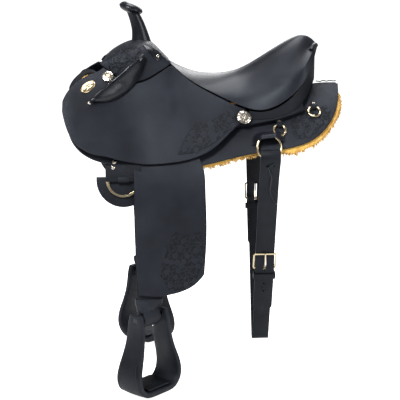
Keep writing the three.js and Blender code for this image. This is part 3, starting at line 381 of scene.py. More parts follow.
def node_group(name, inputs, outputs):
    group = bpy.data.node_groups.new(name, "ShaderNodeTree")
    for label, kind, value in inputs:
        socket = group.interface.new_socket(name=label, in_out="INPUT", socket_type=kind)
        if value is not None:
            socket.default_value = value
    for label, kind in outputs:
        group.interface.new_socket(name=label, in_out="OUTPUT", socket_type=kind)
    return group, group.nodes.new("NodeGroupInput"), group.nodes.new("NodeGroupOutput")


def math_node(tree, operation, a, b=None, clamp=False):
    node = tree.nodes.new("ShaderNodeMath")
    node.operation = operation
    node.use_clamp = clamp
    for socket, value in zip(node.inputs, (a, b)):
        if value is None:
            continue
        if isinstance(value, (int, float)):
            socket.default_value = value
        else:
            tree.links.new(value, socket)
    return node.outputs[0]


def noise_node(tree, vector, scale, detail=3.0, roughness=0.5):
    node = tree.nodes.new("ShaderNodeTexNoise")
    if isinstance(scale, (int, float)):
        node.inputs["Scale"].default_value = scale
    else:
        tree.links.new(scale, node.inputs["Scale"])
    node.inputs["Detail"].default_value = detail
    node.inputs["Roughness"].default_value = roughness
    tree.links.new(vector, node.inputs["Vector"])
    return node.outputs["Fac"]


def range_node(tree, value, low, high, out_low=0.0, out_high=1.0):
    node = tree.nodes.new("ShaderNodeMapRange")
    for label, number in (("From Min", low), ("From Max", high), ("To Min", out_low), ("To Max", out_high)):
        if isinstance(number, (int, float)):
            node.inputs[label].default_value = number
        else:
            tree.links.new(number, node.inputs[label])
    tree.links.new(value, node.inputs["Value"])
    return node.outputs["Result"]


def mix_color(tree, factor, a, b):
    node = tree.nodes.new("ShaderNodeMix")
    node.data_type = "RGBA"
    tree.links.new(factor, node.inputs[0])
    for socket, value in ((node.inputs[6], a), (node.inputs[7], b)):
        if isinstance(value, (tuple, list)):
            socket.default_value = (*value[:3], 1.0)
        else:
            tree.links.new(value, socket)
    return node.outputs[2]


def grain_group():
    """Leather grain: fine pebbles, pores and slow changes of dye and polish."""
    group, entry, exit_ = node_group(
        "Leather grain",
        [("Vector", "NodeSocketVector", None), ("Pebble Scale", "NodeSocketFloat", 900.0),
         ("Dark Dye", "NodeSocketColor", (0.01, 0.01, 0.012, 1)),
         ("Worn Dye", "NodeSocketColor", (0.03, 0.03, 0.035, 1)),
         ("Polished", "NodeSocketFloat", 0.3), ("Dull", "NodeSocketFloat", 0.5)],
        [("Color", "NodeSocketColor"), ("Roughness", "NodeSocketFloat"), ("Height", "NodeSocketFloat")])
    vector = entry.outputs["Vector"]
    cells = group.nodes.new("ShaderNodeTexVoronoi")
    cells.feature = "DISTANCE_TO_EDGE"
    group.links.new(vector, cells.inputs["Vector"])
    group.links.new(entry.outputs["Pebble Scale"], cells.inputs["Scale"])
    creases = range_node(group, cells.outputs["Distance"], 0.0, 0.18)
    fine = noise_node(group, vector, math_node(group, "MULTIPLY", entry.outputs["Pebble Scale"], 2.3), 2.0)
    slow = noise_node(group, vector, 9.0, 4.0, 0.55)
    cloudy = range_node(group, slow, 0.35, 0.68)
    color = mix_color(group, cloudy, entry.outputs["Dark Dye"], entry.outputs["Worn Dye"])
    rub = noise_node(group, vector, 34.0, 3.0, 0.6)
    rough = range_node(group, rub, 0.3, 0.72, entry.outputs["Polished"], entry.outputs["Dull"])
    pebbles = math_node(group, "MULTIPLY", creases, 0.7)
    height = math_node(group, "ADD", pebbles, math_node(group, "MULTIPLY", fine, 0.4))
    group.links.new(color, exit_.inputs["Color"])
    group.links.new(rough, exit_.inputs["Roughness"])
    group.links.new(height, exit_.inputs["Height"])
    return group


def tarnish_group():
    """Metal handling: faint scratches and darker metal where polish doesn't reach."""
    group, entry, exit_ = node_group(
        "Metal tarnish",
        [("Vector", "NodeSocketVector", None), ("Bright", "NodeSocketColor", (0.9, 0.8, 0.6, 1)),
         ("Tarnished", "NodeSocketColor", (0.3, 0.22, 0.12, 1)), ("Spread", "NodeSocketFloat", 0.5)],
        [("Color", "NodeSocketColor"), ("Roughness", "NodeSocketFloat"), ("Height", "NodeSocketFloat")])
    vector = entry.outputs["Vector"]
    patches = noise_node(group, vector, 160.0, 4.0, 0.6)
    low = math_node(group, "SUBTRACT", 1.0, entry.outputs["Spread"])
    mask = range_node(group, patches, math_node(group, "MULTIPLY", low, 0.9), 0.85)
    color = mix_color(group, mask, entry.outputs["Bright"], entry.outputs["Tarnished"])
    scratch = noise_node(group, vector, 700.0, 2.0, 0.5)
    rough = range_node(group, scratch, 0.3, 0.7, 0.14, 0.3)
    group.links.new(color, exit_.inputs["Color"])
    group.links.new(rough, exit_.inputs["Roughness"])
    group.links.new(scratch, exit_.inputs["Height"])
    return group


def base_material(name, bump_distance, bump_strength=1.0):
    """A material with its Principled shader, a bump in front of it and object coordinates."""
    material = bpy.data.materials.new(name)
    material.use_nodes = True
    tree = material.node_tree
    shader = tree.nodes["Principled BSDF"]
    bump = tree.nodes.new("ShaderNodeBump")
    bump.inputs["Distance"].default_value = bump_distance
    bump.inputs["Strength"].default_value = bump_strength
    tree.links.new(bump.outputs["Normal"], shader.inputs["Normal"])
    place_ = tree.nodes.new("ShaderNodeTexCoord").outputs["Object"]
    return material, tree, shader, bump, place_


def use_group(tree, group, vector, **values):
    node = tree.nodes.new("ShaderNodeGroup")
    node.node_tree = group
    tree.links.new(vector, node.inputs["Vector"])
    for label, value in values.items():
        socket = node.inputs[label.replace("_", " ")]
        socket.default_value = (*value[:3], 1.0) if isinstance(value, (tuple, list)) else value
    return node


def leather(name, dark, worn, polished, dull, pebble=900.0, bump=0.00012, coat=0.0):
    material, tree, shader, bump_node, vector = base_material(name, bump)
    grain = use_group(tree, GROUPS["grain"], vector, Pebble_Scale=pebble, Dark_Dye=dark, Worn_Dye=worn,
                      Polished=polished, Dull=dull)
    tree.links.new(grain.outputs["Color"], shader.inputs["Base Color"])
    tree.links.new(grain.outputs["Roughness"], shader.inputs["Roughness"])
    tree.links.new(grain.outputs["Height"], bump_node.inputs["Height"])
    shader.inputs["Coat Weight"].default_value = coat
    shader.inputs["Specular IOR Level"].default_value = 0.2
    shader.inputs["Specular Tint"].default_value = (0.82, 0.9, 1.0, 1)
    shader.inputs["Coat Roughness"].default_value = 0.22
    return material


def carved_leather(name, dark, worn):
    """Tooled leather: the stamped ground is dull and painted darker, as shade in its recesses, and what stands up
    keeps the grain's own colour and polish.
    """
    material, tree, shader, bump_node, vector = base_material(name, 0.0002)
    grain = use_group(tree, GROUPS["grain"], vector, Pebble_Scale=1100.0, Dark_Dye=dark, Worn_Dye=worn,
                      Polished=0.3, Dull=0.42)
    cut = tree.nodes.new("ShaderNodeAttribute")
    cut.attribute_name = "relief"
    raised = range_node(tree, cut.outputs["Fac"], 0.25, 0.8)
    # Painted shade: where the relief is low, the colour is the dye at 0.45, standing in for the shade in the stamped
    # recesses
    ground = tuple(0.45 * c for c in dark)
    tree.links.new(mix_color(tree, raised, ground, grain.outputs["Color"]), shader.inputs["Base Color"])
    tree.links.new(range_node(tree, raised, 0.0, 1.0, 0.6, grain.outputs["Roughness"]), shader.inputs["Roughness"])
    shader.inputs["Specular IOR Level"].default_value = 0.22
    shader.inputs["Specular Tint"].default_value = (0.82, 0.9, 1.0, 1)
    tree.links.new(grain.outputs["Height"], bump_node.inputs["Height"])
    return material


def metal(name, bright, tarnished, spread=0.45, bump=0.00002):
    material, tree, shader, bump_node, vector = base_material(name, bump)
    skin = use_group(tree, GROUPS["tarnish"], vector, Bright=bright, Tarnished=tarnished, Spread=spread)
    tree.links.new(skin.outputs["Color"], shader.inputs["Base Color"])
    tree.links.new(skin.outputs["Roughness"], shader.inputs["Roughness"])
    tree.links.new(skin.outputs["Height"], bump_node.inputs["Height"])
    shader.inputs["Metallic"].default_value = 1.0
    return material


def wool(name, light, mid, deep):
    material, tree, shader, bump_node, vector = base_material(name, 0.002)
    locks = noise_node(tree, vector, 60.0, 5.0, 0.65)
    fibres = noise_node(tree, vector, 480.0, 3.0, 0.7)
    tips = mix_color(tree, range_node(tree, locks, 0.4, 0.7), mid, light)
    roots = range_node(tree, fibres, 0.3, 0.5)
    tree.links.new(mix_color(tree, roots, deep, tips), shader.inputs["Base Color"])
    tree.links.new(math_node(tree, "ADD", locks, fibres), bump_node.inputs["Height"])
    shader.inputs["Roughness"].default_value = 0.95
    shader.inputs["Sheen Weight"].default_value = 0.35
    shader.inputs["Sheen Roughness"].default_value = 0.5
    return material


def wood(name, light, dark):
    material, tree, shader, bump_node, vector = base_material(name, 0.0003)
    stretch = tree.nodes.new("ShaderNodeMapping")
    stretch.inputs["Scale"].default_value = (4.0, 60.0, 60.0)
    tree.links.new(vector, stretch.inputs["Vector"])
    rings = noise_node(tree, stretch.outputs["Vector"], 2.0, 5.0, 0.6)
    tree.links.new(mix_color(tree, range_node(tree, rings, 0.35, 0.65), light, dark), shader.inputs["Base Color"])
    tree.links.new(rings, bump_node.inputs["Height"])
    shader.inputs["Roughness"].default_value = 0.7
    return material


GROUPS, LOOKS = {}, {}


def make_looks(finish):
    """Every material of the saddle, from the colours in the panel."""
    black = tuple(finish.leather_color)
    worn = tuple(finish.leather_worn)
    GROUPS["grain"] = grain_group()
    GROUPS["tarnish"] = tarnish_group()
    LOOKS["leather"] = leather("Black harness leather", black, worn, 0.36, 0.5)
    LOOKS["strap"] = leather("Black strap leather", tuple(0.6 * c for c in black), tuple(0.6 * c for c in worn),
                             0.4, 0.56, 800.0)
    LOOKS["seat"] = leather("Smooth seat leather", black, worn, 0.3, 0.4, 1300.0, 0.00006, 0.12)
    LOOKS["roll"] = leather("Polished roll leather", tuple(0.5 * c for c in black), tuple(0.5 * c for c in worn),
                            0.2, 0.3, 1300.0, 0.00005, 0.35)
    LOOKS["carved"] = carved_leather("Carved black leather", black, worn)
    LOOKS["thread"] = leather("Waxed thread", (0.03, 0.03, 0.033), (0.07, 0.07, 0.075), 0.45, 0.6, 3000.0, 0.0001)
    LOOKS["wool"] = wool("Golden fleece", tuple(finish.fleece_light), tuple(finish.fleece_color),
                         tuple(0.35 * c for c in finish.fleece_color))
    LOOKS["gilt"] = metal("Pale gilt", tuple(finish.gilt_color), (0.34, 0.24, 0.13))
    LOOKS["silver"] = metal("Engraved silver", tuple(finish.silver_color), (0.2, 0.15, 0.1), 0.5)
    LOOKS["steel"] = metal("Brushed steel", (0.55, 0.55, 0.56), (0.25, 0.25, 0.26))
    LOOKS["copper"] = metal("Copper heart", (0.75, 0.42, 0.3), (0.3, 0.14, 0.09), 0.4)
    LOOKS["wood"] = wood("Tree wood", (0.5, 0.33, 0.17), (0.3, 0.17, 0.07))


def color_property(name, description, default):
    return bpy.props.FloatVectorProperty(name=name, description=description, subtype="COLOR", size=3,
                                         min=0.0, max=1.0, default=default)


def length_property(name, description, default):
    return bpy.props.FloatProperty(name=name, description=description, unit="LENGTH", subtype="DISTANCE",
                                   min=0.0, default=default)


class SaddleFinish(bpy.types.PropertyGroup):
    """Colours of the saddle's finishes."""

    leather_color: color_property("Leather", "Dye of the black leather", (0.0055, 0.006, 0.009))
    leather_worn: color_property("Worn leather", "Dye where the leather is rubbed", (0.013, 0.0145, 0.02))
    fleece_color: color_property("Fleece", "Colour of the fleece lining", (0.66, 0.34, 0.045))
    fleece_light: color_property("Fleece tips", "Colour of the tips of the fleece", (0.95, 0.62, 0.16))
    gilt_color: color_property("Gilt", "Colour of the dees, rings and buckles", (0.6, 0.5, 0.33))
    silver_color: color_property("Silver", "Colour of the conchos", (0.52, 0.48, 0.42))


class SaddleSizes(bpy.types.PropertyGroup):
    """Sizes of the finishing work."""

    edge_round: length_property("Edge rounding", "Rounding of the cut edges of leather", 0.0012)
    relief: length_property("Carving height", "Height of the carving over its ground", 0.0011)
    stitch: length_property("Stitch length", "Length of one stitch", 0.0036)
    tuft: length_property("Tuft length", "Length of the fleece tufts past the skirts", 0.0095)
    camera_distance: length_property("Camera distance", "From the camera to the middle of the saddle", 2.9)


def sizes():
    return bpy.context.scene.saddle_sizes


# ---- Carving

def flower(x, y, radius):
    """Height of a five-petalled rosette at x, y from its middle, 0 outside it."""
    r, a = math.hypot(x, y) / radius, math.atan2(y, x)
    lobe = abs(math.cos(2.5 * a))
    rim = 0.68 + 0.32 * lobe ** 0.6
    if r >= rim:
        return 0.0
    if r < 0.24:
        return 1.0 - 0.5 * (r / 0.24) ** 2
    vein = 0.25 * (1 - abs(math.sin(2.5 * a)) ** 0.4)
    return (0.5 + 0.45 * math.sin(math.pi * min(1.0, (r - 0.24) / (rim - 0.24))) ** 0.7) - vein * (1 - r)


def leaf(x, y, long, wide):
    """Height of a curled leaf that runs along x from 0, 0 outside it."""
    t = x / long
    if not 0 < t < 1:
        return 0.0
    half = wide * math.sin(math.pi * t ** 0.75) * (0.86 + 0.14 * math.cos(22 * t))
    v = abs(y) / max(1e-6, half)
    if v >= 1:
        return 0.0
    return 0.9 * (1 - v ** 3) ** 0.5 - 0.45 * math.exp(-((y / (0.12 * wide)) ** 2))


def motifs_in(outline, seed, pitch):
    """Rosettes and leaves set out in a patch, as (kind, x, y, size, turn)."""
    rng = random.Random(seed)
    xs, ys = [p[0] for p in outline], [p[1] for p in outline]
    found, row = [], 0
    y = min(ys)
    while y < max(ys):
        x = min(xs) + (row % 2) * pitch / 2
        while x < max(xs):
            px, py = x + rng.uniform(-0.16, 0.16) * pitch, y + rng.uniform(-0.16, 0.16) * pitch
            if edge_distance(px, py, outline) > -0.12 * pitch:
                turn = rng.uniform(0, 2 * math.pi)
                if rng.random() < 0.36:
                    found.append(("flower", px, py, pitch * rng.uniform(0.5, 0.62), turn))
                else:
                    for k in range(rng.choice((3, 4))):
                        a = turn + k * 2 * math.pi / 3.6
                        found.append(("leaf", px, py, pitch * rng.uniform(0.55, 0.8), a))
            x += pitch
        y += pitch * 0.86
        row += 1
    return found


def edge_distance(x, y, outline):
    """How far inside a closed outline a point is, negative outside."""
    inside, best = False, 1e9
    for (ax, ay), (bx, by) in zip(outline, outline[1:] + outline[:1]):
        if (ay > y) != (by > y) and x < (bx - ax) * (y - ay) / (by - ay) + ax:
            inside = not inside
        ex, ey = bx - ax, by - ay
        t = min(1.0, max(0.0, ((x - ax) * ex + (y - ay) * ey) / (ex * ex + ey * ey)))
        best = min(best, math.hypot(x - ax - t * ex, y - ay - t * ey))
    return best if inside else -best


def carved_height(x, y, motifs):
    top = 0.0
    for kind, mx, my, size, turn in motifs:
        dx, dy = x - mx, y - my
        if dx * dx + dy * dy > size * size:
            continue
        c, s = math.cos(turn), math.sin(turn)
        u, v = dx * c + dy * s, dy * c - dx * s
        top = max(top, flower(u, v, size) if kind == "flower" else leaf(u, v, size, size * 0.24))
    return top


def carved_patch(name, outline, locate, seed, pitch=19.0, step=1.15, lift=0.0001, margin=7.0):
    """A sheet of carving laid on a surface. locate(x, y) gives a point and a normal, or None."""
    motifs = motifs_in(outline, seed, pitch)
    xs, ys = [p[0] for p in outline], [p[1] for p in outline]
    nx, ny = int((max(xs) - min(xs)) / step) + 2, int((max(ys) - min(ys)) / step) + 2
    height = sizes().relief
    points, index, values = [], {}, []
    for i in range(nx):
        for j in range(ny):
            x, y = min(xs) + i * step, min(ys) + j * step
            inside = edge_distance(x, y, outline)
            if inside < -0.6 * pitch:
                continue
            cut = carved_height(x, y, motifs)
            within = smooth((inside + 1.0) / margin)
            if cut <= 0.01 and within <= 0:
                continue
            found = locate(x, y)
            if found is None:
                continue
            speck = noise.noise(Vector((x * 0.9, y * 0.9, seed)))
            ground = within * (0.12 + 0.16 * max(0.0, speck)) - (1 - within) * 0.35
            level = max(ground, cut)
            index[(i, j)] = len(points)
            points.append(found[0] + found[1] * (lift + level * height))
            values.append(max(0.0, level))
    faces = []
    for (i, j) in index:
        quad = [index.get(k) for k in ((i, j), (i + 1, j), (i + 1, j + 1), (i, j + 1))]
        if None not in quad:
            faces.append(quad)
    obj = new_piece(name, points, faces)
    # The relief attribute holds how high each point stands; the carved material paints shade where it is low
    mark = obj.data.attributes.new("relief", "FLOAT", "POINT")
    mark.data.foreach_set("value", values)
    only(obj)
    bpy.ops.object.mode_set(mode="EDIT")
    bpy.ops.mesh.select_all(action="SELECT")
    bpy.ops.mesh.delete_loose()
    bpy.ops.mesh.select_all(action="SELECT")
    bpy.ops.mesh.normals_make_consistent(inside=False)
    bpy.ops.object.mode_set(mode="OBJECT")
    wanted = locate(sum(xs) / len(xs), sum(ys) / len(ys))[1]
    if sum(p.normal.dot(wanted) for p in obj.data.polygons) < 0:
        obj.data.flip_normals()
    apply_modifier(obj, "SOLIDIFY", thickness=0.0012, offset=-1.0)
    shade(obj)
    return obj


# ---- Flank strap frame and laces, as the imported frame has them

STRAND_X, STRAND_Y, STRAND_Z, STRAND_LEAN = 168.0, 175.6026, -99.1305, 0.301175
LACE_POINTS = ((-6, 7.8, 20), (-2, 7.4, 32), (4, 6.4, 48), (3, 5, 68), (2, 3.2, 88), (8, 2.2, 108), (16, 2.4, 124),
               (24, 3.4, 136))
LACE_KNOT = ((-9, 6.6, 3), (-7, 8.6, 0), (0, 9.2, -5), (7, 8.6, -9), (9, 6.6, -12))
LACE_TOP, LACE_R = 20, 1.6
LACE_SHORTEN = {"near": 1.0, "off": 0.765}
BOLT_AT, STIRRUP_TURN = (-146.0, 211.31, -499.0), math.radians(45)
STIRRUP_FULLER = (1.13, 1.14, 1.03)
TUFTS_RIM, TUFTS_UNDER = 260000, 22000  # tufts to a square metre
TUFT_SPREAD = 0.006
LOCK_SCALE, LOCK_RIM, LOCK_UNDER = 110, 0.0045, 0.003


def strand_point(x, n, d, side=-1):
    """Point on the flank billet: x along the horse, n out of its face, d down it, in metres."""
    c, s = math.cos(STRAND_LEAN), math.sin(STRAND_LEAN)
    return Vector((STRAND_X + x, side * (STRAND_Y + n * c - d * s), STRAND_Z - n * s - d * c)) * MM


def stirrup_frame(side):
    """Stands at the bolt: X along the bolt, Y out of the leather's face, Z up."""
    turn = Matrix.Rotation(STIRRUP_TURN * -side, 4, "Z")
    x, y, z = BOLT_AT
    return Matrix.Translation(Vector((x, side * y, z)) * MM) @ turn


def flank_of(y, low=-60.0, high=270.0):
    """Distance down the flank of the point that is y mm from the middle."""
    for _ in range(12):
        mid = (low + high) / 2
        width, _, a = section(mid)
        if width + 8 * math.sin(a) < y:
            low = mid
        else:
            high = mid
    return low


def tuft_piece(name, spots, rng):
    """Little curved locks of wool, each a narrow cone."""
    points, faces = [], []
    for root, lean in spots:
        long = sizes().tuft * rng.uniform(0.35, 0.8)
        wide = 0.0017 * rng.uniform(0.7, 1.3)
        side = lean.orthogonal().normalized()
        side.rotate(Quaternion(lean, rng.uniform(0, 6.28)))
        other = lean.cross(side)
        bend = side * rng.uniform(-0.3, 0.3) * long + Vector((0, 0, -0.12 * long))
        first = len(points)
        for t, w in ((-0.15, 1.0), (0.35, 0.85), (0.72, 0.5)):
            centre = root + lean * long * t + bend * t * t
            for k in range(4):
                a = k * math.pi / 2 + t
                points.append(centre + (side * math.cos(a) + other * math.sin(a)) * wide * w)
        points.append(root + lean * long + bend)
        for ring in range(2):
            for k in range(4):
                a, b = first + ring * 4 + k, first + ring * 4 + (k + 1) % 4
                faces.append((a, b, b + 4, a + 4))
        for k in range(4):
            faces.append((first + 8 + k, first + 8 + (k + 1) % 4, first + 12))
        faces.append((first + 3, first + 2, first + 1, first))
    obj = new_piece(name, points, faces)
    shade(obj)
    return obj


# ---- Operators

HORN_STRAP = ((-146, 184, 6), (-138, 177, 7), (-130, 169, 8), (-121, 161, 9), (-113, 153, 10), (-108, 147, 9))
HORN_SCREW = (-114, 154)
HORN_PROFILE = ((0.0, -14), (14, -13.4), (23, -11), (29, -6.6), (31.6, -1.6), (32.4, 0), (31.6, 1.6), (29, 6.6),
                (22, 10.6), (12, 12.6), (0.0, 13))
ACROSS = (-1, -0.5, 0, 0.5, 1)  # shares of a narrow strap's half width
POLEY_EDGE = ((-282, 52), (-264, 67), (-242, 84), (-221, 100), (-201, 117), (-181, 135), (-162, 151), (-151, 158))

# Where the camera stands, and each lamp's name, place, size in metres and power in watts
CAMERA_AIM, CAMERA_TURN, CAMERA_RISE = (0.0, 0.0, -0.24), math.radians(-4), math.radians(12)
CAMERA_LENS, CAMERA_SENSOR = 96, 36
FLOOR_SIZE, FLOOR_DROP = 400, 0.012
LAMPS = (("Key", (-1.1, -1.9, 1.9), 0.8, 105), ("Fill", (1.9, -1.5, 0.5), 1.2, 24),
         ("Top", (0.2, 0.3, 2.3), 1.2, 40), ("Back", (0.6, 2.2, 1.4), 1.5, 30))
LAMP_AIM = (0, 0, -0.1)


class SADDLE_OT_stage(bpy.types.Operator):
    """Camera, floor and soft studio light"""

    bl_idname = "saddle.stage"
    bl_label = "Stage"

    def execute(self, context):
        scene = context.scene
        middle = Vector(CAMERA_AIM)
        back = Vector((math.sin(CAMERA_TURN) * math.cos(CAMERA_RISE), -math.cos(CAMERA_TURN) * math.cos(CAMERA_RISE),
                       math.sin(CAMERA_RISE)))
        bpy.ops.object.camera_add(location=middle + back * sizes().camera_distance)
        camera = context.object
        camera.rotation_euler = back.to_track_quat("Z", "Y").to_euler()
        camera.data.lens = CAMERA_LENS
        camera.data.sensor_width = CAMERA_SENSOR
        scene.camera = camera
        bpy.ops.mesh.primitive_plane_add(size=FLOOR_SIZE, location=(0, 0, CAD_BOX[0][2] - FLOOR_DROP))
        floor = context.object
        floor.name = "floor"
        paint = bpy.data.materials.new("Pale floor")
        paint.use_nodes = True
        tree = paint.node_tree
        shader = tree.nodes["Principled BSDF"]
        place_ = tree.nodes.new("ShaderNodeTexCoord").outputs["Object"]
        faint = range_node(tree, noise_node(tree, place_, 2.0), 0.2, 0.8)
        tree.links.new(mix_color(tree, faint, (0.93, 0.93, 0.93), (0.95, 0.95, 0.95)), shader.inputs["Base Color"])
        shader.inputs["Roughness"].default_value = 0.9
        shader.inputs["Specular IOR Level"].default_value = 0.0
        shader.inputs["Emission Color"].default_value = (1, 1, 1, 1)
        seen_by = tree.nodes.new("ShaderNodeLightPath").outputs["Is Camera Ray"]
        tree.links.new(seen_by, shader.inputs["Emission Strength"])
        floor.data.materials.append(paint)
        self.light_up(context)
        return {"FINISHED"}

    def light_up(self, context):
        scene = context.scene
        world = bpy.data.worlds.new("Studio")
        scene.world = world
        world.use_nodes = True
        tree = world.node_tree
        room = tree.nodes["Background"]
        seen = tree.nodes.new("ShaderNodeBackground")
        room.inputs["Color"].default_value = (0.98, 0.99, 1.0, 1)
        room.inputs["Strength"].default_value = 0.26
        seen.inputs["Color"].default_value = (1, 1, 1, 1)
        seen.inputs["Strength"].default_value = 1.0
        path = tree.nodes.new("ShaderNodeLightPath")
        both = tree.nodes.new("ShaderNodeMixShader")
        tree.links.new(path.outputs["Is Camera Ray"], both.inputs[0])
        tree.links.new(room.outputs[0], both.inputs[1])
        tree.links.new(seen.outputs[0], both.inputs[2])
        tree.links.new(both.outputs[0], tree.nodes["World Output"].inputs["Surface"])
        scene.view_settings.view_transform = "Standard"
        for name, place_, size, power in LAMPS:
            bpy.ops.object.light_add(type="AREA", location=place_)
            lamp = context.object
            lamp.name = name
            lamp.data.size = size
            lamp.data.energy = power
            lamp.rotation_euler = (Vector(place_) - Vector(LAMP_AIM)).to_track_quat("Z", "Y").to_euler()


# What the front of the skirts and jockeys leaves open over the withers, seen from the side
FRONT_NOTCH = ((-420, 62), (-362, 62), (-346, 74), (-332, 85), (-314, 96), (-296, 105), (-278, 113), (-262, 120),
               (-250, 130), (-247, 400), (-420, 400))
NOTCH_HALF = 300


def open_front(obj):
    """Cuts the front of a skirt, jockey or fleece down to its real edge over the withers."""
    count = len(FRONT_NOTCH)
    points = [Vector((x, y, z)) * MM for y in (-NOTCH_HALF, NOTCH_HALF) for x, z in FRONT_NOTCH]
    faces = [tuple(range(count))[::-1], tuple(range(count, 2 * count))]
    faces += [(i, (i + 1) % count, (i + 1) % count + count, i + count) for i in range(count)]
    cutter = new_piece("cutter", points, faces)
    face_out(cutter)
    apply_modifier(obj, "BOOLEAN", operation="DIFFERENCE", object=cutter, solver="EXACT")
    bpy.data.objects.remove(cutter)


class SADDLE_OT_laces(bpy.types.Operator):
    """Free thongs that hang from the flank billets"""

    bl_idname = "saddle.laces"
    bl_label = "Billet laces"

    def execute(self, context):
        for side, sign in SIDES:
            shorten = LACE_SHORTEN[side]
            points = [strand_point(x, n, LACE_TOP + (d - LACE_TOP) * shorten, sign) for x, n, d in LACE_POINTS]
            path = catmull(points, 6)
            lace = tube(f"lace_{side}", path, LACE_R * MM, sides=10)
            place(lace, "flank_strap", LOOKS["roll"], "black_leather", f"billet_lace_{side}")
            bar = [strand_point(x, n, LACE_TOP + d, sign) for x, n, d in LACE_KNOT]
            knot = tube(f"lace_knot_{side}", catmull(bar, 6), LACE_R * MM, sides=10)
            place(knot, "flank_strap", LOOKS["strap"], "black_leather")
        return {"FINISHED"}


class SADDLE_OT_fleece(bpy.types.Operator):
    """Fleece under the skirts, in locks, with tufts along its edge"""

    bl_idname = "saddle.fleece"
    bl_label = "Fleece"

    def execute(self, context):
        for side, sign in SIDES:
            pad = copy_node(f"fleece_{side}", f"fleece_pad_{side}")
            subdivide(pad, 3)
            if side == "near":
                open_front(pad)
            shade(pad)
            tufts = self.raise_locks(pad, sign, random.Random(7 + sign))
            place(pad, "saddle", LOOKS["wool"], "fleece", f"fleece_{side}")
            edge = tuft_piece(f"fleece_tufts_{side}", tufts, random.Random(31 + sign))
            place(edge, "saddle", LOOKS["wool"], "fleece")
        return {"FINISHED"}

    def raise_locks(self, pad, sign, rng):
        """Pushes the free faces out in locks and returns where tufts stand."""
        mesh = pad.data
        normals = [v.normal.copy() for v in mesh.vertices]
        spots = []
        for v, n in zip(mesh.vertices, normals):
            up = back_normal(flank_of(v.co.y * sign / MM), sign)
            facing = n.dot(up)
            if facing > 0.45:
                continue
            curl = noise.turbulence(v.co * LOCK_SCALE, 3, False)
            v.co += n * (curl - 0.35) * (LOCK_RIM if facing > -0.6 else LOCK_UNDER)
        mesh.update()
        for face in mesh.polygons:
            up = back_normal(flank_of(face.center.y * sign / MM), sign)
            facing = face.normal.dot(up)
            if facing > 0.35:
                continue
            rim = facing > -0.7
            wanted = face.area * (TUFTS_RIM if rim else TUFTS_UNDER)
            for _ in range(int(wanted + rng.random())):
                spread = Vector((rng.uniform(-1, 1), rng.uniform(-1, 1), rng.uniform(-1, 1))) * TUFT_SPREAD
                lean = (face.normal * (1.0 if rim else 0.5) + Vector((0, 0, -0.5)) - up * (0.0 if rim else 0.3))
                spots.append((face.center + spread * (0.5 if rim else 1.0), lean.normalized()))
        return spots


class SADDLE_OT_skirts(bpy.types.Operator):
    """Skirts that lie on the fleece"""

    bl_idname = "saddle.skirts"
    bl_label = "Skirts"

    def execute(self, context):
        for side, _ in SIDES:
            skirt = softened(f"skirt_{side}", f"skirt_leather_{side}", sizes().edge_round)
            if side == "near":
                open_front(skirt)
            shade(skirt, 50)
            place(skirt, "saddle", LOOKS["leather"], "black_leather", f"skirt_{side}")
        return {"FINISHED"}


class SADDLE_OT_jockeys(bpy.types.Operator):
    """Jockeys that cover the skirts and the heads of the fenders"""

    bl_idname = "saddle.jockeys"
    bl_label = "Jockeys"

    def execute(self, context):
        for side, _ in SIDES:
            jockey = softened(f"jockey_{side}", f"jockey_leather_{side}", sizes().edge_round)
            if side == "near":
                open_front(jockey)
            shade(jockey, 50)
            place(jockey, "saddle", LOOKS["leather"], "black_leather", f"jockey_{side}")
        return {"FINISHED"}


# The roll round the cantle, in metres: how far it turns each way, and what it is measured from
ROLL_TURN, ROLL_STEPS, ROLL_RISE = 56, 40, 0.55
ROLL_HUB, ROLL_FROM_X, ROLL_SET_IN, ROLL_R = (0.19, 0, 0.1), 0.12, (-0.006, 0, -0.004), 0.0075


class SADDLE_OT_seat(bpy.types.Operator):
    """Padded seat with its rolled cantle, and the wall under it"""

    bl_idname = "saddle.seat"
    bl_label = "Seat"

    def execute(self, context):
        seat = softened("seat_cover", "seat_leather", 0.0014)
        place(seat, "saddle", LOOKS["seat"], "smooth_leather", "seat_cover", "seat_pad")
        rim = []
        for step in range(ROLL_STEPS + 1):
            a = math.radians(-ROLL_TURN + 2 * ROLL_TURN * step / ROLL_STEPS)
            way = Vector((math.cos(a), math.sin(a), ROLL_RISE))
            far = max((v.co for v in seat.data.vertices if v.co.x > ROLL_FROM_X),
                      key=lambda p: (p - Vector(ROLL_HUB)).dot(way))
            rim.append(far.copy())
        middle = [(a + 2 * b + c) / 4 for a, b, c in zip(rim, rim[1:], rim[2:])]
        middle = [p + Vector(ROLL_SET_IN) for p in middle]
        roll = tube("cantle_roll", resample(catmull(middle[::3], 6), 0.006), ROLL_R, sides=16)
        place(roll, "saddle", LOOKS["seat"], "smooth_leather")
        wall = softened("cantle_back", "cantle_wall", 0.0006, 1)
        place(wall, "saddle", LOOKS["strap"], "black_leather", "cantle_back")
        return {"FINISHED"}


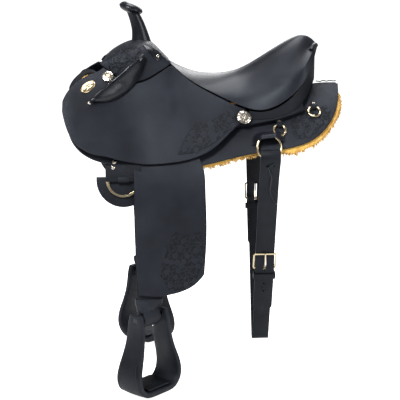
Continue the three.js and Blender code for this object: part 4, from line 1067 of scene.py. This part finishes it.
class SADDLE_OT_swell(bpy.types.Operator):
    """Swell cover, horn and bucking rolls"""

    bl_idname = "saddle.swell"
    bl_label = "Swell and horn"

    def execute(self, context):
        swell = softened("swell_cover", "swell_leather", 0.001, 1)
        place(swell, "saddle", LOOKS["leather"], "black_leather", "swell_cover")
        surface = Surface(swell, bpy.data.objects["jockey_leather_near"], bpy.data.objects["jockey_leather_off"])
        for side, sign in SIDES:
            strap = self.horn_strap(f"horn_strap_{side}", surface, sign)
            place(strap, "saddle", LOOKS["roll"], "black_leather")
            found = surface.at_side(*HORN_SCREW, sign)
            screw = polar_piece(f"horn_screw_{side}", frame_at(found[0] + found[1] * 0.0022, found[1]), lambda a: 4.2,
                                lambda q, a: 0.5 + 1.5 * (1 - q ** 2.4), rings=10, spokes=32)
            place(screw, "saddle", LOOKS["silver"], "silver")
        neck = softened("horn_wrap", "horn_neck", 0.001, 2)
        self.thicken(neck, 0.0022)
        place(neck, "saddle", LOOKS["roll"], "smooth_leather", "horn_wrap")
        cap = self.horn_head()
        place(cap, "saddle", LOOKS["roll"], "smooth_leather", "horn_cap")
        for side, sign in SIDES:
            roll = softened(f"poley_{side}", f"bucking_roll_{side}", 0.0008, 3)
            place(roll, "saddle", LOOKS["roll"], "smooth_leather", f"poley_{side}")
            surface = Surface(roll, bpy.data.objects[f"jockey_leather_{side}"], swell)
            ridge = []
            for p in catmull([(x, z, 0) for x, z in POLEY_EDGE], 5):
                found = surface.at_side(p.x, p.y, sign)
                if found:
                    ridge.append(found[0] + found[1] * 0.001)
            bead = tube(f"roll_ridge_{side}", ridge, 0.0042, sides=14)
            place(bead, "saddle", LOOKS["roll"], "smooth_leather")
        return {"FINISHED"}

    def horn_strap(self, name, surface, sign):
        """A strap from the foot of the horn down behind the swell."""
        points = []
        for x, z, half in HORN_STRAP:
            for q in ACROSS:
                found = surface.at_side(x + q * half * 0.86, z + q * half * 0.5, sign)
                points.append(found[0] + found[1] * 0.0011)
        obj = new_piece(name, points, grid_faces(len(HORN_STRAP), len(ACROSS)))
        if obj.data.polygons[0].normal.y * sign < 0:
            obj.data.flip_normals()
        apply_modifier(obj, "SOLIDIFY", thickness=0.0022, offset=0.0)
        round_edges(obj, 0.0005, 2, 50)
        subdivide(obj, 2)
        shade(obj)
        return obj

    def thicken(self, obj, amount):
        """Fills out a covering by pushing its faces outward."""
        obj.data.update()
        for v, n in zip(obj.data.vertices, [v.normal.copy() for v in obj.data.vertices]):
            v.co += n * amount
        obj.data.update()

    def horn_head(self):
        """The padded cap: a thick tilted lens with a rounded rim."""
        stand = node_frame("horn_cap")
        low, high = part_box("horn_cap")
        middle = (Vector(low) + Vector(high)) / 2
        stand = frame_at(middle, stand.col[2].xyz, Vector((0, 1, 0)))
        points, faces, spokes = [], [], 56
        for r, z in HORN_PROFILE:
            for k in range(spokes if r else 1):
                a = 2 * math.pi * k / spokes
                points.append(stand @ (Vector((r * math.cos(a), r * math.sin(a), z)) * MM))
        for k in range(spokes):
            faces.append((0, 1 + (k + 1) % spokes, 1 + k))
            last = 1 + (len(HORN_PROFILE) - 3) * spokes
            faces.append((last + k, last + (k + 1) % spokes, last + spokes))
        for i in range(len(HORN_PROFILE) - 3):
            for k in range(spokes):
                a, b = 1 + i * spokes + k, 1 + i * spokes + (k + 1) % spokes
                faces.append((a, b, b + spokes, a + spokes))
        obj = new_piece("horn_head", points, faces)
        face_out(obj)
        subdivide(obj, 1)
        shade(obj)
        return obj


class SADDLE_OT_fenders(bpy.types.Operator):
    """Fenders, stirrup leathers and hobble straps"""

    bl_idname = "saddle.fenders"
    bl_label = "Fenders"

    def execute(self, context):
        for side, _ in SIDES:
            fender = softened(f"fender_{side}", f"fender_leather_{side}", 0.001)
            place(fender, f"fender_{side}", LOOKS["leather"], "black_leather", f"fender_{side}")
            strap = rounded(f"stirrup_leather_{side}", f"stirrup_strap_{side}", 0.0008)
            place(strap, f"fender_{side}", LOOKS["strap"], "black_leather", f"stirrup_leather_{side}")
            hobble = softened(f"hobble_strap_{side}", f"hobble_{side}", 0.0006)
            place(hobble, f"fender_{side}", LOOKS["leather"], "black_leather", f"hobble_strap_{side}")
        return {"FINISHED"}


# The stirrup leather's fold about its roller, and the columns across it, which close in at the sides
LOOP_FOLD = ((0, 0, 30), (-4.6, 0, 24), (-11, 0, 12), (-15.5, 0, -2), (-13.5, 0, -15), (-6, 0, -23),
             (0, 0, -25), (6, 0, -23), (13.5, 0, -15), (15.5, 0, -2), (11, 0, 12), (4.6, 0, 24))
LOOP_COLUMNS = (-29.6, -29, -27.5, -18, -6, 6, 18, 27.5, 29, 29.6)


class SADDLE_OT_stirrups(bpy.types.Operator):
    """Leather-covered bell stirrups, and the loops that carry them"""

    bl_idname = "saddle.stirrups"
    bl_label = "Stirrups"

    def execute(self, context):
        for side, sign in SIDES:
            stand = stirrup_frame(sign)
            fuller = stand @ Matrix.Diagonal((*STIRRUP_FULLER, 1)) @ stand.inverted()
            bell = softened(f"stirrup_{side}", f"stirrup_bell_{side}", 0.0022, 2, angle=50)
            bell.data.transform(fuller)
            place(bell, f"stirrup_{side}", LOOKS["leather"], "black_leather", f"stirrup_{side}")
            tread = rounded(f"stirrup_tread_{side}", f"tread_pad_{side}", 0.0014)
            tread.data.transform(fuller)
            place(tread, f"stirrup_{side}", LOOKS["strap"], "black_leather", f"stirrup_tread_{side}")
            bolt = NODES[f"stirrup_bolt_{side}"]
            bolt.data.materials.clear()
            bolt.data.materials.append(LOOKS["roll"])
            self.dress(bell, stand, side)
            loop = self.loop(f"stirrup_loop_{side}", stand)
            place(loop, f"fender_{side}", LOOKS["leather"], "black_leather")
        return {"FINISHED"}

    def dress(self, bell, stand, side):
        """Welts along the edges of the bell and stitches beside them."""
        surface = Surface(bell)
        inward = stand.to_3x3()
        for k, edge in enumerate((-1, 1)):
            rim, seam = [], []
            for step in range(73):
                t = math.pi * (0.03 + 0.94 * step / 72)
                out = inward @ Vector((-math.cos(t), 0, -math.sin(t))).normalized()
                middle = stand @ (Vector((0, 0, -100 - 2 * math.sin(t))) * MM)
                for line, share in ((rim, 0.97), (seam, 0.86)):
                    half = self.half_depth(math.sin(t)) * share
                    start = middle + inward @ Vector((0, edge * half, 0)) + out * 0.2
                    found = surface.from_out(start, -out)
                    if found:
                        line.append((found[0], found[1]))
            welt = tube(f"stirrup_welt_{k}_{side}", [p for p, _ in rim], 0.0011, sides=8)
            place(welt, f"stirrup_{side}", LOOKS["roll"], "black_leather")
            normals = KDTree(len(seam))
            for n, (p, _) in enumerate(seam):
                normals.insert(p, n)
            normals.balance()
            thread = stitch_row(f"stirrup_stitches_{k}_{side}", [p for p, _ in seam],
                                lambda p: seam[normals.find(p)[1]][1], 0.0042, 0.0018, 0.0006)
            place(thread, f"stirrup_{side}", LOOKS["thread"], "black_leather")

    def half_depth(self, down):
        return (23 + 14 * smooth(down)) * MM * STIRRUP_FULLER[1]

    def loop(self, name, stand):
        """The fold of the stirrup leather round its roller, between the arms."""
        points, faces = [], []
        fold = catmull(LOOP_FOLD, 3)[:-1]
        for across in LOOP_COLUMNS:
            tight = 0.9 if abs(across) > 29.3 else 0.97 if abs(across) > 28.6 else 1.0
            for p in fold:
                points.append(stand @ (Vector((across, p.x * tight, p.z * tight)) * MM))
        ring = len(fold)
        for i in range(len(LOOP_COLUMNS) - 1):
            for k in range(ring):
                a, b = i * ring + k, i * ring + (k + 1) % ring
                faces.append((a, b, b + ring, a + ring))
        faces.append(tuple(range(ring))[::-1])
        faces.append(tuple(range((len(LOOP_COLUMNS) - 1) * ring, len(LOOP_COLUMNS) * ring)))
        obj = new_piece(name, points, faces)
        face_out(obj)
        shade(obj, 60)
        return obj


class SADDLE_OT_rigging(bpy.types.Operator):
    """Front and rear rigging with their dees and rings"""

    bl_idname = "saddle.rigging"
    bl_label = "Rigging"

    def execute(self, context):
        for side, _ in SIDES:
            plate = rounded(f"front_rigging_{side}", f"front_plate_{side}", 0.0009)
            place(plate, "saddle", LOOKS["strap"], "black_leather", f"front_rigging_{side}")
            dee = rounded(f"front_dee_{side}", f"cinch_dee_{side}", 0.0016, segments=3)
            place(dee, f"front_dee_{side}", LOOKS["gilt"], "gilt_metal", f"front_dee_{side}")
            ring = softened(f"rear_ring_{side}", f"flank_ring_{side}", 0.0001, 2, angle=80)
            place(ring, "flank_strap", LOOKS["gilt"], "gilt_metal", f"rear_ring_{side}")
        return {"FINISHED"}


class SADDLE_OT_flank(bpy.types.Operator):
    """Flank billets, buckles, keepers and cinch"""

    bl_idname = "saddle.flank"
    bl_label = "Flank cinch"

    def execute(self, context):
        for side, _ in SIDES:
            billet = rounded(f"flank_billet_{side}", f"billet_{side}", 0.0009)
            place(billet, "flank_strap", LOOKS["strap"], "black_leather", f"flank_billet_{side}")
            keeper = rounded(f"cinch_keeper_{side}", f"keeper_{side}", 0.0008)
            place(keeper, "flank_strap", LOOKS["strap"], "black_leather", f"cinch_keeper_{side}")
            buckle = rounded(f"cinch_buckle_{side}", f"buckle_{side}", 0.0012, segments=3)
            place(buckle, "flank_strap", LOOKS["gilt"], "gilt_metal", f"cinch_buckle_{side}")
            tongue = rounded(f"buckle_tongue_{side}", f"tongue_{side}", 0.0005)
            place(tongue, f"tongue_{side}", LOOKS["gilt"], "gilt_metal", f"buckle_tongue_{side}")
        cinch = rounded("flank_cinch", "cinch_band", 0.0009)
        place(cinch, "flank_strap", LOOKS["strap"], "black_leather", "flank_cinch")
        return {"FINISHED"}


# ---- Where the trim and the carving lie, as millimetres along the horse and down the flank

BADGE_AT = (-292, 54)
JOCKEY_SCREWS = ((-289, 96, 4.5),)
RIGGING_SCREWS = ((-232, 202, 5.0), (-229, 187, 5.0))
CLIP_SCREWS = {"fore": (197, 54), "aft": (291, 10)}
BAG_DEES = {"fore": (197, 64), "aft": (291, 20)}
SWELL_PANEL = ((-240, 146), (-225, 160), (-200, 173), (-176, 180), (-158, 178), (-156, 166), (-170, 157), (-192, 138),
               (-212, 121), (-228, 110), (-238, 124))
CARVED_PANELS = (
    ("jockey_carving", "saddle", "jockey_leather",
     ((-68, 141), (-48, 98), (-22, 61), (9, 61), (40, 44), (71, 26), (84, 44), (72, 70), (40, 100), (1, 125),
      (-34, 138)),
     11, 15.0),
    ("skirt_carving", "saddle", "skirt_leather",
     ((230, 50), (257, 8), (290, 32), (322, 15), (333, 36), (326, 62), (290, 92), (250, 110), (228, 84)), 23, 14.0),
    ("fender_carving", "fender_{side}", "fender_leather",
     ((-104, 378), (-78, 318), (-46, 330), (-15, 319), (-6, 350), (-4, 392), (-28, 452), (-60, 470), (-92, 474),
      (-117, 430)), 37, 15.0),
)


# ---- Conchos, screws and other round trim

def polar_piece(name, matrix, rim, height, rings=14, spokes=72, thick=1.2):
    """A round boss. rim(a) is its radius at angle a and height(q, a) its face, both in millimetres."""
    points, faces = [matrix @ Vector((0, 0, height(0.0, 0.0) * MM))], []
    for i in range(1, rings + 1):
        q = i / rings
        for k in range(spokes):
            a = 2 * math.pi * k / spokes
            r = rim(a) * q
            points.append(matrix @ (Vector((r * math.cos(a), r * math.sin(a), height(q, a))) * MM))
    for k in range(spokes):
        a = 2 * math.pi * k / spokes
        points.append(matrix @ (Vector((rim(a) * math.cos(a), rim(a) * math.sin(a), -thick)) * MM))
    for k in range(spokes):
        faces.append((0, 1 + k, 1 + (k + 1) % spokes))
    for i in range(rings):
        first = 1 + i * spokes
        for k in range(spokes):
            a, b = first + k, first + (k + 1) % spokes
            faces.append((a, a + spokes, b + spokes, b))
    faces.append(tuple(range(1 + rings * spokes, 1 + (rings + 1) * spokes))[::-1])
    obj = new_piece(name, points, faces)
    face_out(obj)
    shade(obj, 42)
    return obj


def node_frame(node):
    """Where a flat round node stands: a matrix with Z out of its face."""
    points = [v.co.copy() for v in NODES[node].data.vertices]
    middle = sum(points, Vector()) / len(points)
    spread = np.array([tuple(p - middle) for p in points])
    axis = Vector(np.linalg.svd(spread, full_matrices=False)[2][2])
    if axis.y * middle.y < 0:
        axis.negate()
    depth = [(p - middle).dot(axis) for p in points]
    return frame_at(middle + axis * min(depth), axis)


def petals(count, q, a, inner, outer):
    """Height from 0 to 1 of a ring of petals between two parts of the radius."""
    if not inner < q < outer:
        return 0.0
    t = (q - inner) / (outer - inner)
    lobe = abs(math.cos(count * a / 2)) ** 0.6
    return math.sin(math.pi * t) ** 0.6 * lobe


def rope(q, a, at, wide, twists):
    """A twisted rim at one part of the radius."""
    near = max(0.0, 1 - abs(q - at) / wide)
    return near ** 0.5 * (0.7 + 0.3 * math.sin(twists * a + 9 * (q - at) / wide))


class SADDLE_OT_conchos(bpy.types.Operator):
    """Engraved conchos, the plain oval badge and the small screws"""

    bl_idname = "saddle.conchos"
    bl_label = "Conchos and badge"

    def execute(self, context):
        for side, sign in SIDES:
            stand = node_frame(f"concho_rear_{side}")
            rear = polar_piece(
                f"concho_big_{side}", stand, lambda a: 18.0 + 0.5 * math.cos(12 * a),
                lambda q, a: 1.5 + 2.6 * (1 - q ** 2) + 0.5 * rope(q, a, 0.9, 0.09, 40)
                + 0.55 * petals(8, q, a, 0.34, 0.8) + 0.5 * petals(6, q, a, 0.05, 0.3),
                rings=26, spokes=96, thick=0.0)
            place(rear, "saddle", LOOKS["silver"], "silver", f"concho_rear_{side}")
            stand = node_frame(f"concho_front_{side}")
            front = polar_piece(
                f"concho_small_{side}", stand, lambda a: 15.2 - 1.5 * abs(math.sin(6 * a)) ** 0.5,
                lambda q, a: 1.4 + 1.6 * (1 - q ** 3) - 0.5 * (abs(math.cos(6 * a)) ** 6) * smooth((q - 0.45) / 0.3),
                rings=22, spokes=96, thick=0.0)
            place(front, "saddle", LOOKS["silver"], "silver", f"concho_front_{side}")
            lift = Matrix.Translation((0, 0, 0.0026))
            heart = polar_piece(f"concho_heart_{side}", stand @ lift, lambda a: 6.4 + 0.3 * math.cos(8 * a),
                                lambda q, a: 1.7 * (1 - q ** 2) + 0.5 * petals(5, q, a, 0.2, 0.95),
                                rings=14, spokes=60, thick=0.4)
            place(heart, "saddle", LOOKS["copper"], "silver")
            surface = Surface(bpy.data.objects[f"jockey_leather_{side}"])
            spot, normal = surface.at_back(*BADGE_AT, sign)
            badge_frame = frame_at(spot, normal) @ Matrix.Rotation(math.radians(33) * -sign, 4, "Z")
            badge = polar_piece(
                f"badge_{side}", badge_frame,
                lambda a: 1 / math.hypot(math.cos(a) / 26.0, math.sin(a) / 12.0),
                lambda q, a: 2.6 - 1.0 * q ** 4 + 0.8 * rope(q, a, 0.93, 0.08, 46)
                - (0.7 if 0.8 < q < 0.87 else 0.0), rings=30, spokes=110, thick=3.0)
            place(badge, "saddle", LOOKS["gilt"], "gilt_metal")
            field = polar_piece(
                f"badge_field_{side}", badge_frame @ lift,
                lambda a: 1 / math.hypot(math.cos(a) / 20.6, math.sin(a) / 8.6),
                lambda q, a: 0.25 + 0.5 * petals(10, q, a, 0.3, 0.95) + 0.6 * petals(4, q, a, 0.0, 0.28),
                rings=16, spokes=90, thick=0.4)
            place(field, "saddle", LOOKS["gilt"], "gilt_metal")
            for k, (x, s_, r) in enumerate(JOCKEY_SCREWS):
                self.screw(f"jockey_screw_{k}_{side}", surface, x, s_, r, sign)
            surface = Surface(bpy.data.objects[f"dee_strap_{side}"], bpy.data.objects[f"skirt_leather_{side}"])
            for k, (x, s_, r) in enumerate(RIGGING_SCREWS):
                self.screw(f"rigging_screw_{k}_{side}", surface, x, s_, r, sign)
            for end, (x, s_) in CLIP_SCREWS.items():
                surface = Surface(bpy.data.objects[f"dee_clip_{end}_{side}"])
                self.flower_screw(f"skirt_screw_{end}_{side}", surface, x, s_, 6.6, sign)
        return {"FINISHED"}

    def screw(self, name, surface, x, s, r, sign):
        spot, normal = surface.at_back(x, s, sign)
        boss = polar_piece(name, frame_at(spot, normal), lambda a: r,
                           lambda q, a: 1.8 * (1 - q ** 2.4) + 0.5
                           - (0.8 if abs(q * math.sin(a + 0.7)) < 0.14 and q < 0.8 else 0.0), rings=14, spokes=40)
        place(boss, "saddle", LOOKS["silver"], "silver")

    def flower_screw(self, name, surface, x, s, r, sign):
        spot, normal = surface.at_back(x, s, sign)
        boss = polar_piece(name, frame_at(spot, normal), lambda a: r * (1 - 0.14 * abs(math.sin(4 * a)) ** 0.6),
                           lambda q, a: 1.6 * (1 - q ** 2) + 0.6 + 0.5 * petals(8, q, a, 0.4, 0.98)
                           + (0.8 if q < 0.24 else 0.0), rings=14, spokes=56)
        place(boss, "saddle", LOOKS["silver"], "silver")


# A clip's line over the dee's bar, up the flank and off it
CLIP_LINE = ((20, 20.2), (15, 20.8), (10, 23.6), (5, 28.6), (0, 30.4), (-4, 29.4), (-7.4, 25.6), (-7.8, 21.6))
CLIP_HALF = 7.5


class SADDLE_OT_bag_dees(bpy.types.Operator):
    """Saddle-bag dees and the leather clips that hold them"""

    bl_idname = "saddle.bag_dees"
    bl_label = "Bag dees"

    def execute(self, context):
        for side, sign in SIDES:
            for end, (x, s) in BAG_DEES.items():
                dee = rounded(f"bag_dee_{end}_{side}", f"dee_{end}_{side}", 0.0013, segments=3)
                place(dee, f"bag_dee_{end}_{side}", LOOKS["gilt"], "gilt_metal", f"bag_dee_{end}_{side}")
                clip = self.clip(f"dee_clip_{end}_{side}", x, s, sign)
                place(clip, "saddle", LOOKS["strap"], "black_leather")
        return {"FINISHED"}

    def clip(self, name, x, s, sign):
        """A short strap from the screw down over the dee's top bar and back under it."""
        lay = flank_frame(x, s, sign)
        points = []
        for k, (up, h) in enumerate(CLIP_LINE):
            wide = CLIP_HALF * (0.55 if k == 0 else 0.9 if k == 1 else 1.0)
            for q in ACROSS:
                points.append(lay @ (Vector((q * wide, up, h)) * MM))
        obj = new_piece(name, points, grid_faces(len(CLIP_LINE), len(ACROSS)))
        apply_modifier(obj, "SOLIDIFY", thickness=0.0016, offset=0.0)
        face_out(obj)
        subdivide(obj, 2)
        shade(obj)
        return obj


# The hood over the ring: its place along and down the flank, how far its top edge arches up, and
# how high its edge and its middle stand
HOOD_X, HOOD_HALF, HOOD_TOP, HOOD_LONG, HOOD_ARCH = 165, 44, 80, 33, 3
HOOD_FOOT, HOOD_SWELL = 20.0, 27.5
HOOD_ACROSS, HOOD_DOWN = 24, 16

# The strap over the front dee: where it lies, its line up the flank and off it, and its seam
DEE_STRAP_AT, DEE_STRAP_SPAN, DEE_STRAP_COLUMNS = (-206, 213), (-45, 89), 13
DEE_STRAP_LINE = ((48, 21.6), (30, 22.2), (14, 22.4), (7, 21.4), (2, 20.6), (-2.4, 19.4), (-4.6, 15.8),
                  (-2.6, 12.2))
DEE_SEAM_X, DEE_SEAM_LONG, DEE_SEAM_S = -249, 85, 196


class SADDLE_OT_rigging_cover(bpy.types.Operator):
    """Leather strap over the front dee, and the housing over the flank ring"""

    bl_idname = "saddle.rigging_cover"
    bl_label = "Rigging covers"

    def execute(self, context):
        for side, sign in SIDES:
            hood = self.hood(f"ring_housing_{side}", sign)
            place(hood, "saddle", LOOKS["leather"], "black_leather", f"rear_rigging_{side}")
            strap = self.dee_strap(f"dee_strap_{side}", sign)
            place(strap, "saddle", LOOKS["strap"], "black_leather")
            surface = Surface(strap)
            row = [surface.at_back(DEE_SEAM_X + DEE_SEAM_LONG * t / 24, DEE_SEAM_S, sign) for t in range(25)]
            row = [found[0] for found in row if found]
            thread = stitch_row(f"dee_strap_stitches_{side}", row, lambda p: back_normal(DEE_SEAM_S, sign))
            place(thread, "saddle", LOOKS["thread"], "black_leather")
        return {"FINISHED"}

    def hood(self, name, sign):
        """Leather that swells out over the ring's upper bar and lies flat at its edges."""
        points = []
        for i in range(HOOD_ACROSS + 1):
            u = -1 + 2 * i / HOOD_ACROSS
            for j in range(HOOD_DOWN + 1):
                v = j / HOOD_DOWN
                x = HOOD_X + HOOD_HALF * u
                s = HOOD_TOP + HOOD_LONG * v - HOOD_ARCH * (1 - u * u)
                bulge = smooth((1 - abs(u)) / 0.62) * smooth(v / 0.8)
                points.append(on_back(x, s, HOOD_FOOT + HOOD_SWELL * bulge, sign))
        faces = grid_faces(HOOD_ACROSS + 1, HOOD_DOWN + 1)
        obj = new_piece(name, points, faces)
        if obj.data.polygons[len(faces) // 2].normal.dot(back_normal(98, sign)) < 0:
            obj.data.flip_normals()
        apply_modifier(obj, "SOLIDIFY", thickness=0.0026, offset=-1.0)
        round_edges(obj, 0.0008, 2, 50)
        subdivide(obj, 1)
        shade(obj)
        return obj

    def dee_strap(self, name, sign):
        """A wide strap that folds round the straight bar of the front dee."""
        lay = flank_frame(*DEE_STRAP_AT, sign)
        low, wide = DEE_STRAP_SPAN
        points = []
        for up, h in DEE_STRAP_LINE:
            for k in range(DEE_STRAP_COLUMNS):
                points.append(lay @ (Vector((low + wide * k / (DEE_STRAP_COLUMNS - 1), up, h)) * MM))
        obj = new_piece(name, points, grid_faces(len(DEE_STRAP_LINE), DEE_STRAP_COLUMNS))
        apply_modifier(obj, "SOLIDIFY", thickness=0.0022, offset=0.0)
        face_out(obj)
        round_edges(obj, 0.0006, 2, 50)
        subdivide(obj, 1)
        shade(obj)
        return obj


class SADDLE_OT_carving(bpy.types.Operator):
    """Floral carving on the jockeys, skirts, fenders and swell"""

    bl_idname = "saddle.carving"
    bl_label = "Carving"

    def execute(self, context):
        for name, body, cover, outline, seed, pitch in CARVED_PANELS:
            near = bpy.data.objects[f"{cover}_near"]
            surface = Surface(near)
            panel = carved_patch(f"{name}_near", list(outline), lambda x, s: surface.at_back(x, s, -1), seed, pitch)
            twin = mirrored(panel, f"{name}_off")
            for side, piece in (("near", panel), ("off", twin)):
                place(piece, body.format(side=side), LOOKS["carved"], "black_leather")
        surface = Surface(bpy.data.objects["swell_leather"])
        panel = carved_patch("swell_carving_near", list(SWELL_PANEL),
                             lambda x, z: surface.at_side(x, z, -1), 51, 13.0)
        for piece in (panel, mirrored(panel, "swell_carving_off")):
            place(piece, "saddle", LOOKS["carved"], "black_leather")
        return {"FINISHED"}


class SADDLE_OT_tree(bpy.types.Operator):
    """What shows of the tree, and the small pieces that keep the frame's shape"""

    bl_idname = "saddle.tree"
    bl_label = "Tree and small parts"

    def execute(self, context):
        for side, _ in SIDES:
            bar = rounded(f"tree_bar_{side}", f"bar_cover_{side}", 0.0016)
            place(bar, "saddle", LOOKS["strap"], "black_leather", f"tree_bar_{side}")
        for node, look in (("tree_fork", "strap"), ("tree_cantle", "wood"), ("horn_core", "steel"),
                           ("strainer_plate", "steel")):
            NODES[node].data.materials.clear()
            NODES[node].data.materials.append(LOOKS[look])
        lacing = softened("skirt_lace", "skirt_lacing", 0.0006, 2)
        place(lacing, "saddle", LOOKS["strap"], "black_leather", "skirt_lace")
        return {"FINISHED"}


# In the order of making: the stage and the free cords come before all else
OPERATORS = (SADDLE_OT_stage, SADDLE_OT_laces, SADDLE_OT_skirts, SADDLE_OT_fleece, SADDLE_OT_jockeys, SADDLE_OT_seat,
             SADDLE_OT_swell, SADDLE_OT_fenders, SADDLE_OT_stirrups, SADDLE_OT_rigging, SADDLE_OT_flank,
             SADDLE_OT_rigging_cover, SADDLE_OT_bag_dees, SADDLE_OT_conchos, SADDLE_OT_carving, SADDLE_OT_tree)


class SADDLE_PT_making(bpy.types.Panel):
    """Every step of making the saddle, with its sizes and finishes"""

    bl_idname = "SADDLE_PT_making"
    bl_label = "Western saddle"
    bl_space_type = "VIEW_3D"
    bl_region_type = "UI"
    bl_category = "Saddle"

    def draw(self, context):
        layout = self.layout
        steps = layout.box()
        steps.label(text="Pieces")
        for operator in OPERATORS:
            steps.operator(operator.bl_idname, text=operator.bl_label)
        for title, owner in (("Sizes", context.scene.saddle_sizes), ("Finish", context.scene.saddle_finish)):
            box = layout.box()
            box.label(text=title)
            for name in owner.__annotations__:
                box.prop(owner, name)


CLASSES = (SaddleFinish, SaddleSizes) + OPERATORS + (SADDLE_PT_making,)


def register():
    for cls in CLASSES:
        bpy.utils.register_class(cls)
    bpy.types.Scene.saddle_finish = bpy.props.PointerProperty(type=SaddleFinish)
    bpy.types.Scene.saddle_sizes = bpy.props.PointerProperty(type=SaddleSizes)


def unregister():
    del bpy.types.Scene.saddle_sizes
    del bpy.types.Scene.saddle_finish
    for cls in reversed(CLASSES):
        bpy.utils.unregister_class(cls)


def main():
    register()
    make_looks(bpy.context.scene.saddle_finish)
    for operator in OPERATORS:
        getattr(bpy.ops.saddle, operator.bl_idname.split(".")[1])()


if __name__ == "__main__":
    main()
